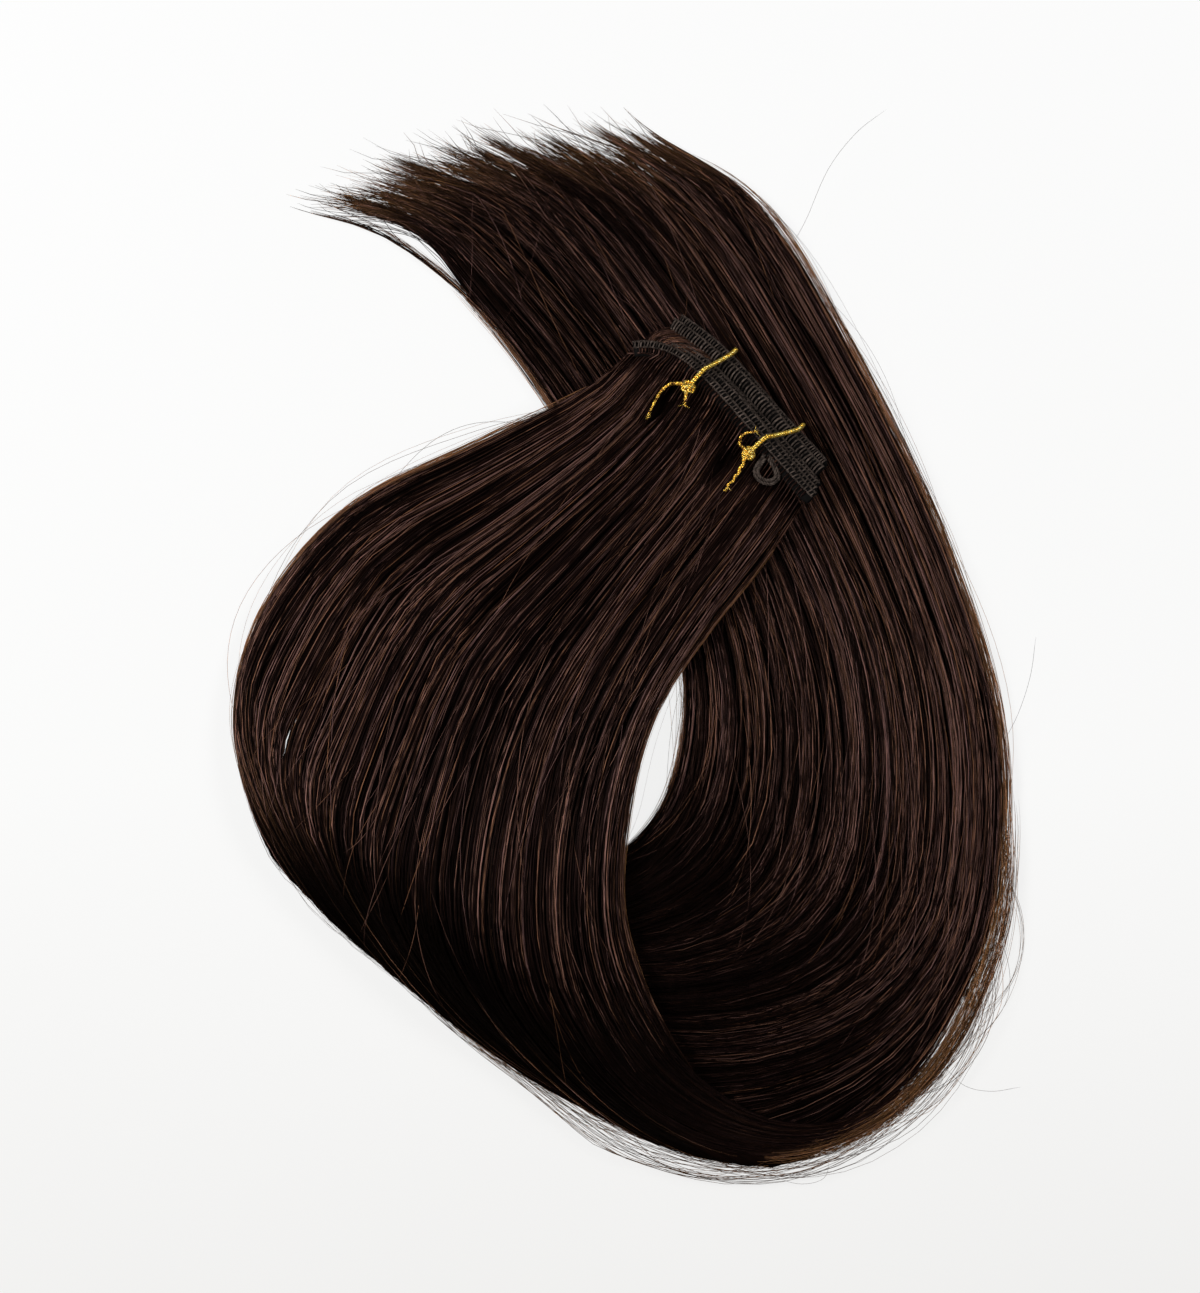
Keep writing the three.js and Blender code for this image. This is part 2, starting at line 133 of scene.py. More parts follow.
# Rows of strands along the edges: how many, whether at the left edge, from station to station, shortest and
# longest in stations, nearest and farthest out of the dense hair, how slack they bow, and their radius
EDGE_ROWS = (
    (190, True, 0.9, 6.1, 1.2, 3.2, -1.5, 1.4, 0.1, 0.09),
    (13, True, 1.0, 5.9, 1.0, 3.4, -1.5, 0.5, 4.0, 0.05),
    (90, False, 0.3, 5.75, 1.2, 3.2, -1.0, 0.8, 0.1, 0.06),
    (120, True, 8.0, 14.4, 1.2, 3.0, -1.6, 0.7, 0.12, 0.065),
    (40, True, 11.6, 13.4, 0.8, 1.7, -0.5, 2.0, 0.2, 0.06),
    (190, False, 9.0, 14.7, 1.2, 3.5, -1.8, 2.4, 0.15, 0.09),
    (24, False, 10.0, 14.6, 1.0, 2.5, -1.0, 1.8, 1.8, 0.045),
    (120, False, 7.4, 10.6, 1.0, 2.6, -1.5, 6.0, 0.4, 0.05),
    (22, True, 8.4, 11.8, 1.2, 2.4, -1.0, 0.8, 2.4, 0.04),
)
# The outline round the bend, along which loose strands lie: points in plan with their heights
BEND = (
    (-62, -92, 5), (-42, -109, 5), (-16, -125, 5), (9, -136, 4), (33, -141.5, 3.5), (58, -139, 3),
    (78, -128, 2.5), (92, -112.5, 2.5), (102, -92, 2.5), (108, -66, 2.5), (108, -40, 2.5),
)
BEND_STEPS = 400
BEND_BUNDLES = 110
# How far the loose strands and the close ones bow off that outline
MOST_LOOSE = 9.0
LEAST_LOOSE = 1.6
# Where hair turns from the roll's lip into the lower sweep: its inner, middle and outer course in plan with
# their heights
TURN_STEPS = 200
TURN = (
    (
        (2, -88.5, 11.2), (6.9, -101.9, 10.9), (14.1, -112.8, 10.6), (23.9, -122.6, 8.2), (36.3, -130.5, 5),
        (48.3, -133.6, 4.5), (60.6, -133, 4.9), (72.8, -127.5, 4.4), (85, -116.5, 4.2), (92.3, -105.6, 3.6),
    ),
    (
        (-8, -88.5, 14.2), (-4, -104, 14.4), (4, -117, 13.2), (15, -127, 11.7), (28, -134, 8.8),
        (44, -138, 5.4), (60, -136.5, 4.4), (74, -128.8, 3.6), (86, -116.6, 3.4), (93, -105.6, 3.4),
    ),
    (
        (-20, -98, 17), (-12, -113, 15.4), (-2, -124.5, 13.6), (10, -133.5, 11), (24, -140, 8.2),
        (42, -143, 5), (60, -140, 3.5), (75.6, -130, 3), (88.4, -116.4, 2.8), (95.6, -104, 2.6),
    ),
)
# How many steps on the bend and the turn make up a station
STATION_STEPS = 30
# Long single hairs that spring away from the outline
LOOSE_ENDS = (
    ((48, 112, 4), (51.4, 118.2, 6), (58, 133, 9), (66, 143, 10), (73.8, 149, 9)),
    ((107, -27, 4), (110.5, -20, 6), (114, -9, 8), (115.5, 2, 9)),
    ((90, -118, 2), (96, -123.5, 3), (103, -125, 4), (111.6, -123.8, 4)),
    ((30, -141, 2), (40, -147.5, 2.5), (50, -151, 2.5), (57, -149, 2.5), (58, -142, 2)),
)

# The track: its strip, the height from one pass to the next and the middle height of the uppermost one
PASSES = 6
STRIP_WIDTH = 4.3
STRIP_THICK = 1.05
PASS_PITCH = 1.25
TOP_HEIGHT = 15.6
# Half of the strip's section, from its back edge towards the hair and up
STRIP_PROFILE = np.array([
    [0.05, 0.0], [0.25, 0.25], [0.8, 0.32], [2.2, 0.24], [3.6, 0.32], [4.1, 0.25], [STRIP_WIDTH, 0.0],
])
# The back edge of the uppermost and of the lowest pass in plan, at four points from end to end, and the
# usual length of a pass
ROWS = np.array([
    [[3, 84], [21, 78], [37, 61], [54, 42]],
    [[17, 92], [31, 80], [45, 65], [57, 51]],
])
ROW_LENGTH = 62.0
# How far back each pass lies, from the uppermost to the lowest row, and where along the row it starts
PASS_BACK = (0, 0.2, 0.3, 0.4, 0.84, 1.0)
PASS_START = (0, 0.15, 0.15, 0.12, 0, 0)
# The pass whose wide rungs show behind the uppermost ones
LADDER_PASS = 4
# How much of the uppermost pass shows between its back edge and the hair's roots
FRONT_ROW = 1.9
# The sewn-back end of the track in plan, and the size and height of each cord that it is made of
END_LOOP = np.array([
    [39.6, 52.6], [36.9, 48], [38.2, 45.4], [41.3, 44.4], [43.6, 46], [42.6, 49.6], [40.9, 52.4],
])
END_LOOP_CORDS = ((1.0, 0.35), (1.0, 1.1), (0.74, 0.8), (0.74, 1.5))
# How many roots leave the uppermost pass, and how many strands cross the header's left end, with how many
# points
ROOTS = 62
FAN_STRANDS = 330
POINTS_FAN = 10

# The two cords, and their knots in front of the uppermost pass and above it
CORD_RADIUS = 0.68
KNOT_RADIUS = 1.75
KNOT_REACH = 6.6
KNOT_LIFT = 1.05
KNOT_TURNS = 7
ROUND_POINTS = 300
TAIL_POINTS = 90
FRAYS = 9
# Where each cord goes round the lowest and the uppermost pass, and its tails as steps from the knot
TIES = {
    "tie_upper": {
        "back": 0.32,
        "front": 0.375,
        "tails": [
            [[-2.2, 0.9, 0.5], [-5.8, 0.2, 1.1], [-8.2, -2.4, 0.9], [-10.6, -7, 0.2]],
            [[-0.4, -1.6, 0.2], [-0.9, -4.3, 0.1]],
        ],
    },
    "tie_lower": {
        "back": 0.78,
        "front": 0.73,
        "tails": [
            [[-0.9, -1.6, 0.3], [-2.4, -4.6, 0.6], [-3.6, -6.6, 0.6], [-5.8, -9.2, 0.1]],
            [[-1.4, 1.3, 0.8], [-2.5, 3.2, 1.2], [-1.4, 5.2, 1.3], [1.4, 5.9, 1.0]],
        ],
    },
}

# Half of the floor's side, in metres
FLOOR_HALF = 3.0


# Curves and vectors
def unit(vectors):
    length = np.linalg.norm(vectors, axis=-1, keepdims=True)
    return vectors / np.maximum(length, 1e-9)


def smoothstep(value, low, high):
    """0 up to low, 1 from high on, and smooth in between."""
    share = np.clip((value - low) / (high - low), 0, 1)
    return share * share * (3 - 2 * share)


def bell(value, centre, width):
    """1 at the centre, falling off smoothly to both sides."""
    return np.exp(-(((value - centre) / width) ** 2))


def four_weights(t):
    """Weights of four values at 0, 1/3, 2/3 and 1 for the value at t."""
    u = 3 * t
    return np.stack([
        -(u - 1) * (u - 2) * (u - 3) / 6,
        u * (u - 2) * (u - 3) / 2,
        -u * (u - 1) * (u - 3) / 2,
        u * (u - 1) * (u - 2) / 6,
    ], axis=-1)


def three_weights(t):
    """Weights of three values at 0, 1/2 and 1 for the value at t."""
    return np.stack([(1 - t) * (1 - 2 * t), 4 * t * (1 - t), t * (2 * t - 1)], axis=-1)


def centripetal(p0, p1, p2, p3, w):
    """A point at w from 0 to 1 between p1 and p2 on a centripetal Catmull-Rom curve."""
    d0, d1, d2 = (
        np.maximum(1e-4, np.linalg.norm(b - a, axis=-1, keepdims=True) ** 0.5)
        for a, b in ((p0, p1), (p1, p2), (p2, p3))
    )
    leave = ((p1 - p0) / d0 - (p2 - p0) / (d0 + d1) + (p2 - p1) / d1) * d1
    arrive = ((p2 - p1) / d1 - (p3 - p1) / (d1 + d2) + (p3 - p2) / d2) * d1
    square = 3 * (p2 - p1) - 2 * leave - arrive
    cube = 2 * (p1 - p2) + leave + arrive
    w = w[..., None]
    return p1 + leave * w + square * w**2 + cube * w**3


def run_along(points):
    """The length of a path up to each of its points."""
    steps = np.linalg.norm(np.diff(points, axis=0), axis=1)
    return np.concatenate([[0], np.cumsum(steps)])


def smooth_path(points, count):
    """Evenly spaced points along a smooth curve through a few given ones."""
    points = np.asarray(points, float)
    padded = np.concatenate([2 * points[:1] - points[1:2], points, 2 * points[-1:] - points[-2:-1]])
    place = np.linspace(0, len(points) - 1, 12 * len(points))
    k = np.minimum(place.astype(int), len(points) - 2)
    fine = centripetal(padded[k], padded[k + 1], padded[k + 2], padded[k + 3], place - k)
    run = run_along(fine)
    even = np.linspace(0, run[-1], count)
    return np.stack([np.interp(even, run, fine[:, axis]) for axis in range(3)], axis=-1)


def at_place(points, place):
    """Points between the evenly spaced ones of a path, or of several paths at once."""
    step = place.astype(int)
    part = (place - step)[..., None]
    return points[..., step, :] * (1 - part) + points[..., step + 1, :] * part


def sideways(paths, upward=(0, 0, 1.0)):
    """Directions across paths that don't run along upward."""
    return np.cross(np.gradient(paths, axis=1), upward)


# The hair's course as a surface: station along the hair, share across it
def fullness(share):
    """How thick the hair is across its width, next to its middle."""
    side = np.clip(2 * share - 1, -1, 1)
    return EDGE_SHARE + (1 - EDGE_SHARE) * np.maximum(0, 1 - side**4) ** 0.6


def at_station(index, share):
    """The middle of the hair at whole stations, straight on past both ends."""
    near = np.clip(index, 0, TIPS)
    plan = np.einsum("...k,...kd->...d", four_weights(share), PLAN[near])
    lift = np.sum(three_weights(share) * LIFT[near], axis=-1)
    height = lift + THICK[near] * fullness(share) / 2
    return np.concatenate([plan, height[..., None]], axis=-1)


def middle(station, share):
    """The middle of the hair's thickness."""
    k = np.clip(np.floor(station).astype(int), 0, TIPS - 1)
    p1 = at_station(k, share)
    p2 = at_station(k + 1, share)
    p0 = np.where((k > 0)[..., None], at_station(k - 1, share), 2 * p1 - p2)
    p3 = np.where((k < TIPS - 1)[..., None], at_station(k + 2, share), 2 * p2 - p1)
    return centripetal(p0, p1, p2, p3, station - k)


def half_thickness(station, share):
    """From the middle of the hair to either face."""
    return np.interp(station, np.arange(TIPS + 1), THICK) * fullness(share) / 2


def frame_at(station, share):
    """Unit vectors across the hair and out of the face that is on top before the fold."""
    along = unit(middle(station + 0.02, share) - middle(station - 0.02, share))
    across = unit(middle(station, share + 0.004) - middle(station, share - 0.004))
    return across, unit(np.cross(along, across))


def surface(station, share, above, face):
    """Points at a height above one face of the hair: face 1 is on top before the fold, -1 after it."""
    across, out = frame_at(station, share)
    level = half_thickness(station, share) + above
    points = middle(station, share) + face * out * level[..., None]
    points[..., 2] = np.maximum(points[..., 2], FLOOR_GAP)
    return points, across


# Meshes as joined shells: each point has a tone, a reach, a hue_and_shade and a run, which the materials
# read
# On strands reach is a painted golden glow and hue_and_shade their colour cast; on the dark masses they are
# the place along the hair and painted shade
def tubes(paths, radii, sides, across, tone, reach, hue_and_shade=None, run=None):
    """Closed tubes with equal numbers of points along paths[tube, point, axis]."""
    count, points = paths.shape[:2]
    along = unit(np.gradient(paths, axis=1))
    side = unit(across - along * np.sum(across * along, axis=-1, keepdims=True))
    up = np.cross(along, side)
    angle = 2 * math.pi * (np.arange(sides) + 0.25) / sides
    ring = np.cos(angle)[:, None] * side[:, :, None] + np.sin(angle)[:, None] * up[:, :, None]
    vertices = paths[:, :, None] + radii[:, :, None, None] * ring
    index = np.arange(count * points * sides).reshape(count, points, sides)
    following = np.roll(index, -1, axis=2)
    walls = np.stack([index[:, :-1], following[:, :-1], following[:, 1:], index[:, 1:]], axis=-1)
    spread = (count, points, sides)
    hue_and_shade = np.zeros(count) if hue_and_shade is None else hue_and_shade
    run = np.zeros((count, points)) if run is None else run
    return {
        "points": vertices.reshape(-1, 3),
        "faces": [walls.reshape(-1, 4), index[:, 0, ::-1], index[:, -1]],
        "tone": np.broadcast_to(tone.reshape(count, -1, 1), spread).ravel(),
        "reach": np.broadcast_to(reach[:, :, None], spread).ravel(),
        "hue_and_shade": np.broadcast_to(hue_and_shade[:, None, None], spread).ravel(),
        "run": np.broadcast_to(run[:, :, None], spread).ravel(),
    }


def slab(outer, inner, tone, reach, hue_and_shade):
    """A closed shell between two grids of points[row, column, axis]."""
    rows, columns = outer.shape[:2]
    top = np.arange(rows * columns).reshape(rows, columns)
    bottom = top + rows * columns

    def quads(a, b, c, d):
        return np.stack([a, b, c, d], axis=-1).reshape(-1, 4)

    return {
        "points": np.concatenate([outer.reshape(-1, 3), inner.reshape(-1, 3)]),
        "faces": [
            quads(top[:-1, :-1], top[1:, :-1], top[1:, 1:], top[:-1, 1:]),
            quads(bottom[:-1, :-1], bottom[:-1, 1:], bottom[1:, 1:], bottom[1:, :-1]),
            quads(top[:-1, 0], bottom[:-1, 0], bottom[1:, 0], top[1:, 0]),
            quads(top[:-1, -1], top[1:, -1], bottom[1:, -1], bottom[:-1, -1]),
            quads(top[0, :-1], top[0, 1:], bottom[0, 1:], bottom[0, :-1]),
            quads(top[-1, :-1], bottom[-1, :-1], bottom[-1, 1:], top[-1, 1:]),
        ],
        "tone": np.tile(tone.ravel(), 2),
        "reach": np.tile(reach.ravel(), 2),
        "hue_and_shade": np.tile(hue_and_shade.ravel(), 2),
        "run": np.zeros(2 * tone.size),
    }


def add_piece(name, shells, material):
    """One smooth mesh piece from closed shells, riding on the part's only body."""
    loops = []
    sizes = []
    offset = 0
    for shell in shells:
        for faces in shell["faces"]:
            loops.append((faces + offset).ravel())
            sizes.append(np.full(len(faces), faces.shape[1]))
        offset += len(shell["points"])
    loops = np.concatenate(loops).astype(np.int32)
    sizes = np.concatenate(sizes)
    starts = np.concatenate([[0], np.cumsum(sizes)[:-1]]).astype(np.int32)
    points = np.concatenate([shell["points"] for shell in shells]) * METRES
    mesh = bpy.data.meshes.new(name)
    mesh.vertices.add(len(points))
    mesh.vertices.foreach_set("co", points.astype(np.float32).ravel())
    mesh.loops.add(len(loops))
    mesh.loops.foreach_set("vertex_index", loops)
    mesh.polygons.add(len(starts))
    mesh.polygons.foreach_set("loop_start", starts)
    for label in ("tone", "reach", "hue_and_shade", "run"):
        values = np.concatenate([shell[label] for shell in shells]).astype(np.float32)
        mesh.attributes.new(label, "FLOAT", "POINT").data.foreach_set("value", values)
    mesh.update(calc_edges=True)
    mesh.validate()
    mesh.shade_smooth()
    mesh.materials.append(material)
    piece = bpy.data.objects.new(name, mesh)
    bpy.context.scene.collection.objects.link(piece)
    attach(piece, "root")
    return piece


# Materials
class Nodes:
    """A small helper that adds shader nodes to one material."""

    def __init__(self, name):
        self.material = bpy.data.materials.new(name)
        self.material.use_nodes = True
        self.tree = self.material.node_tree
        self.shader = self.tree.nodes["Principled BSDF"]

    def add(self, kind, **settings):
        node = self.tree.nodes.new(kind)
        for key, value in settings.items():
            if key in node.inputs:
                node.inputs[key].default_value = value
            else:
                setattr(node, key, value)
        return node

    def link(self, source, target):
        self.tree.links.new(source, target)

    def attribute(self, name):
        return self.add("ShaderNodeAttribute", attribute_name=name).outputs["Fac"]

    def ramp(self, source, stops):
        node = self.add("ShaderNodeValToRGB")
        elements = node.color_ramp.elements
        while len(elements) < len(stops):
            elements.new(0.5)
        for element, (place, colour) in zip(elements, stops):
            element.position = place
            element.color = (*colour, 1)
        self.link(source, node.inputs["Fac"])
        return node.outputs["Color"]

    def noise(self, vector, scale, detail=3.0):
        node = self.add("ShaderNodeTexNoise", Scale=scale, Detail=detail)
        self.link(vector, node.inputs["Vector"])
        return node.outputs["Fac"]

    def place(self):
        return self.add("ShaderNodeTexCoord").outputs["Object"]

    def point(self, x, y):
        node = self.add("ShaderNodeCombineXYZ")
        self.link(x, node.inputs["X"])
        self.link(y, node.inputs["Y"])
        return node.outputs["Vector"]

    def multiply(self, first, second):
        """A value times another value or a number."""
        node = self.add("ShaderNodeMath", operation="MULTIPLY")
        self.link(first, node.inputs[0])
        if isinstance(second, float):
            node.inputs[1].default_value = second
        else:
            self.link(second, node.inputs[1])
        return node.outputs["Value"]

    def spread(self, source, low, high, source_low=0.0, source_high=1.0):
        """The source's range stretched to the one from low to high."""
        limits = {"From Min": source_low, "From Max": source_high, "To Min": low, "To Max": high}
        node = self.add("ShaderNodeMapRange", **limits)
        self.link(source, node.inputs["Value"])
        return node.outputs["Result"]

    def blend(self, mode, first, second, factor=1.0):
        """Two colours combined, by a number or a value."""
        node = self.add("ShaderNodeMix", data_type="RGBA", blend_type=mode)
        if isinstance(factor, float):
            node.inputs["Factor"].default_value = factor
        else:
            self.link(factor, node.inputs["Factor"])
        self.link(first, node.inputs["A"])
        self.link(second, node.inputs["B"])
        return node.outputs["Result"]

    def bump(self, height, strength, distance):
        node = self.add("ShaderNodeBump", Strength=strength, Distance=distance)
        self.link(height, node.inputs["Height"])
        self.link(node.outputs["Normal"], self.shader.inputs["Normal"])

    def set(self, **values):
        for key, value in values.items():
            self.shader.inputs[key.replace("_", " ")].default_value = value


def hair_core_material(name):
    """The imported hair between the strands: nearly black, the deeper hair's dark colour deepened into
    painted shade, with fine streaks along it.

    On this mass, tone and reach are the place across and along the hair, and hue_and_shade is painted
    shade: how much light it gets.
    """
    nodes = Nodes(name)
    streaks = nodes.noise(nodes.point(nodes.attribute("tone"), nodes.attribute("reach")), 1.0, 2.0)
    colour = nodes.ramp(streaks, [(0.35, (0.001, 0.0005, 0.0004)), (0.65, (0.006, 0.0025, 0.0018))])
    shade = nodes.ramp(nodes.attribute("hue_and_shade"), [(0.0, (0.1, 0.1, 0.1)), (1.0, (1.0, 1.0, 1.0))])
    nodes.link(nodes.blend("MULTIPLY", colour, shade), nodes.shader.inputs["Base Color"])
    nodes.bump(streaks, 0.6, 0.0002)
    nodes.set(Roughness=0.6, Specular_IOR_Level=0.03, Specular_Tint=(1.0, 0.66, 0.56, 1))
    return nodes.material


def hair_material(name):
    """Dark hair: strands have their own tone and colour cast, painted light and shade that comes and goes
    along their run, and a painted golden glow by reach.
    """
    nodes = Nodes(name)
    own = nodes.multiply(nodes.attribute("hue_and_shade"), STRAND_APART)
    along = nodes.multiply(nodes.attribute("run"), FLICKER_RATE)
    flicker = nodes.spread(nodes.noise(nodes.point(own, along), 1.0, 2.0), 0.45, 1.55, 0.3, 0.7)
    tone = nodes.ramp(nodes.multiply(nodes.attribute("tone"), flicker), [
        (0.0, (0.0013, 0.0006, 0.0005)),
        (0.4, (0.0245, 0.0114, 0.0093)),
        (1.0, (0.3, 0.157, 0.122)),
    ])
    hue_and_shade = nodes.ramp(nodes.attribute("hue_and_shade"), [
        (0.0, (0.9, 0.95, 1.15)),
        (0.5, (1.0, 1.0, 1.0)),
        (1.0, (1.15, 1.02, 0.66)),
    ])
    gold = nodes.ramp(nodes.attribute("reach"), [
        (0.0, (0, 0, 0)),
        (0.5, (0.1, 0.05, 0.02)),
        (1.0, (0.45, 0.22, 0.085)),
    ])
    tinted = nodes.blend("MULTIPLY", tone, hue_and_shade)
    nodes.link(nodes.blend("ADD", tinted, gold), nodes.shader.inputs["Base Color"])
    rough = nodes.spread(nodes.noise(nodes.place(), 60.0), 0.32, 0.52)
    nodes.link(rough, nodes.shader.inputs["Roughness"])
    nodes.set(Metallic=0.6, Specular_IOR_Level=0.1, IOR=1.55, Specular_Tint=(1.0, 0.74, 0.64, 1))
    return nodes.material


def thread_material(name):
    """Matt spun thread: nearly black on the strip, its dark colour deepened into painted shade of the
    grooves between stitches, and grey-brown and fuzzy on the stitches.
    """
    nodes = Nodes(name)
    fuzz = nodes.noise(nodes.place(), 1100.0, 4.0)
    dark_thread_and_shade = nodes.ramp(fuzz, [(0.3, (0.0008, 0.0006, 0.0005)), (0.7, (0.003, 0.0022, 0.0018))])
    wrapped = nodes.ramp(fuzz, [(0.3, (0.016, 0.0118, 0.01)), (0.7, (0.2, 0.15, 0.124))])
    mixed = nodes.blend("MIX", dark_thread_and_shade, wrapped, nodes.attribute("tone"))
    nodes.link(mixed, nodes.shader.inputs["Base Color"])
    nodes.bump(fuzz, 0.4, 0.0002)
    nodes.set(Roughness=0.7, Specular_IOR_Level=0.08)
    return nodes.material


def gold_material(name):
    """Gold cord: metallic foil, flecked from amber to bright, and flaked off where tone is high."""
    nodes = Nodes(name)
    place = nodes.place()
    flecks = nodes.noise(place, 1400.0, 4.0)
    foil = nodes.ramp(flecks, [
        (0.3, (0.85, 0.38, 0.02)),
        (0.5, (1.0, 0.68, 0.1)),
        (0.68, (1.0, 0.9, 0.38)),
    ])
    flakes = nodes.noise(place, 700.0, 2.0)
    bare = nodes.ramp(flakes, [(0.4, (0.16, 0.06, 0.008)), (0.5, (1.0, 0.62, 0.1))])
    worn = nodes.blend("MIX", foil, bare, nodes.attribute("tone"))
    nodes.link(worn, nodes.shader.inputs["Base Color"])
    nodes.link(nodes.spread(flecks, 0.16, 0.36), nodes.shader.inputs["Roughness"])
    nodes.bump(flecks, 0.7, 0.0002)
    nodes.set(Metallic=0.75)
    return nodes.material


HAIR_CORE = hair_core_material("hair_core")
HAIR = hair_material("hair_strands")
THREAD = thread_material("track_thread")
GOLD = gold_material("gold_cord")


# Hair: strands lie in wisps and wisps in locks that wander on their own, so that gaps open and close
def lock_table(seed, low):
    """Locks and wisps of one face from the share low to 1: their sides, wander, height, tone and hue."""
    rng = np.random.default_rng(seed)
    widths = rng.uniform(0.4, 1.6, LOCKS)
    return {
        "low": low,
        "sides": low + (1 - low) * np.concatenate([[0], np.cumsum(widths)]) / widths.sum(),
        "sway": rng.normal(0, 0.0042, (LOCKS, 2)),
        "rate": rng.uniform([0.4, 0.7], [0.9, 1.4], (LOCKS, 2)),
        "turn": rng.uniform(0, 2 * math.pi, (LOCKS, 2)),
        "height": rng.normal(0, 0.1, LOCKS),
        "wisp_sway": rng.normal(0, 0.0022, WISPS),
        "wisp_rate": rng.uniform(0.3, 1.3, WISPS),
        "wisp_turn": rng.uniform(0, 2 * math.pi, WISPS),
        "wisp_height": rng.normal(0, 0.14, WISPS),
        "wisp_tone": rng.beta(0.8, 0.9, WISPS),
        "wisp_hue": rng.random(WISPS),
    }


def small_partings():
    """Short partings here and there between the locks, dark from their dents and from painted shade, in the
    same terms as the large ones.
    """
    rng = np.random.default_rng(7)
    rows = []
    for _ in range(SMALL_PARTINGS):
        size = rng.uniform(0.5, 1.0)
        rows.append((
            rng.uniform(1.0, 14.2),
            rng.uniform(0.04, 0.96),
            0.7 * size,
            0.0065 * size,
            1.7 * size,
        ))
    return rows


def parted(station, share):
    """Shares pushed aside by the partings, and the depth of the dent there."""
    dent = np.zeros_like(share)
    moved = share.copy()
    for centre, place, length, width, depth in ALL_PARTINGS:
        swell = np.maximum(0, 1 - ((station - centre) / length) ** 2)
        off = share - place
        moved += np.where(off < 0, -1, 1) * width * swell * np.exp(-np.abs(off) / (1.3 * width))
        dent += depth * swell * bell(share, place, width)
    return moved, dent


def within(station, share, face):
    """Shares drawn in from the side edges to where the hair lies dense."""
    if face > 0:
        low = 0.016 + 0.1 * smoothstep(station, 5.0, 5.9)
        return low + (0.994 - low) * share
    low = 0.004 + 0.112 * (1 - smoothstep(station, 6.4, 7.6))
    bend = smoothstep(station, 6.4, 7.4) * (1 - smoothstep(station, 8.9, 9.8))
    return low + (0.976 - 0.05 * bend - low) * share


def roll_inset(station, share):
    """How far the roll's hair lies inside of its form, up to its far end."""
    depth = 1.7 * (1 - smoothstep(share, 0.55, 0.75)) + 1.3 * bell(share, 0.57, 0.1)
    corner = 2.4 * smoothstep(share, 0.75, 0.95) * bell(station, 6.7, 0.5)
    return depth * bell(station, 6.1, 0.55) + corner


def core(name, face, start, end, rows, spans):
    """The dark mass of one sweep that the loose strands lie on, in shells side by side across the hair."""
    shells = []
    for low, high, columns in spans:
        share = np.linspace(low, high, columns) * np.ones((rows, 1))
        station = start + (end - start) * np.linspace(0, 1, rows)[:, None] * np.ones(columns)
        if face < 0:
            tuft, _, off = tuft_shape(share)
            ragged = 0.9 * (TUFT_ENDS[tuft] - TIPS) - 0.18 * off
            station = station + ragged * np.linspace(0, 1, rows)[:, None]
        else:
            gap = SLIT_WIDTH * np.maximum(0, 1 - ((station - SLIT_STATION) / SLIT_LENGTH) ** 2)
            beside = (share - low) / (high - low) if low < SLIT_SHARE else (high - share) / (high - low)
            way = -1 if low < SLIT_SHARE else 1
            share = share + way * gap * beside**8
        _, dent = parted(station, share)
        thinning = smoothstep(station, 12.6, 14.4)
        depth = half_thickness(station, share)
        inset = roll_inset(station, share) if face > 0 else 0.8 * depth * thinning
        aside = beside_lone_lock(np.maximum(share, LONE_LOCK + 0.001), station) if face < 0 else 0
        place = within(station, share + aside, face)
        top, _ = surface(station, place, -1.5 - dent - inset, face)
        under, _ = surface(station, place, np.full_like(share, -0.5), -face)
        outer, inner = (top, under) if face > 0 else (under, top)
        # The mass carries the painted shade of lit_share in its hue_and_shade
        shells.append(slab(outer, inner, CORE_GRAIN * share, station, lit_share(station, share, face)))
    return add_piece(name, shells, HAIR_CORE)


def wave(rng, station, size, slow, fast):
    """A wander of its own for each strand."""
    count = len(station)
    rate = rng.uniform(slow, fast, (count, 1))
    turn = rng.uniform(0, 2 * math.pi, (count, 1))
    return rng.normal(0, size, (count, 1)) * np.sin(rate * station + turn)


def tapered(width, points, sharp=6):
    """Radii along strands that thin out towards both ends, more suddenly the sharper they are."""
    run = np.linspace(0, 1, points)
    return width * np.minimum(1, 0.25 + sharp * (1 - run)) * np.minimum(1, 0.4 + 8 * run)


def lit_share(station, share, face):
    """How much of its tone a strand keeps, as painted light and shade: painted shade on the roll's far
    side, and after it a painted shadow under the lip.
    """
    if face > 0:
        # Painted shade on the roll's far side, in the upper sweep's middle, at the roots by the track and
        # towards the right edge
        half = 5.65 - 0.98 * bell(share, 0.5, 0.3)
        middle_shade = 0.15 * bell(share, 0.55, 0.25)
        root_shade = 0.6 * (1 - smoothstep(station, 0.1, 0.5))
        roll = 1 - ROLL_SHADE * smoothstep(station, half - 0.35, half + 0.25)
        return roll * (1 - middle_shade) * (1 - root_shade) * (1 - 0.12 * smoothstep(share, 0.5, 0.7))
    # Painted shadow under the lip, painted light towards the lower sweep's right edge, and darker towards
    # the tips
    lip = LIP_SHADE * (1 - 0.5 * smoothstep(share, 0.4, 0.75))
    lit = 1 - lip * (1 - smoothstep(station, 8.7 - 1.3 * share, 10.0))
    right = 1 + 0.35 * smoothstep(share, 0.75, 0.95)
    tips = 1 - 0.3 * smoothstep(station, 12.5, 14)
    return 1.08 * lit * right * tips


def edge_shade(points):
    """How much of its tone the lower sweep keeps under the painted shadow beside the upper sweep's right
    edge.
    """
    station = np.linspace(0, 6, 80)
    edge = middle(station, np.full(80, 0.99))[:, :2]
    shape = points.shape[:-1]
    flat = points.reshape(-1, 1, 3)[..., :2]
    distance = np.linalg.norm(flat - edge, axis=-1).min(axis=1).reshape(shape)
    return 1 - EDGE_SHADE * np.exp(-distance / EDGE_SHADE_REACH)


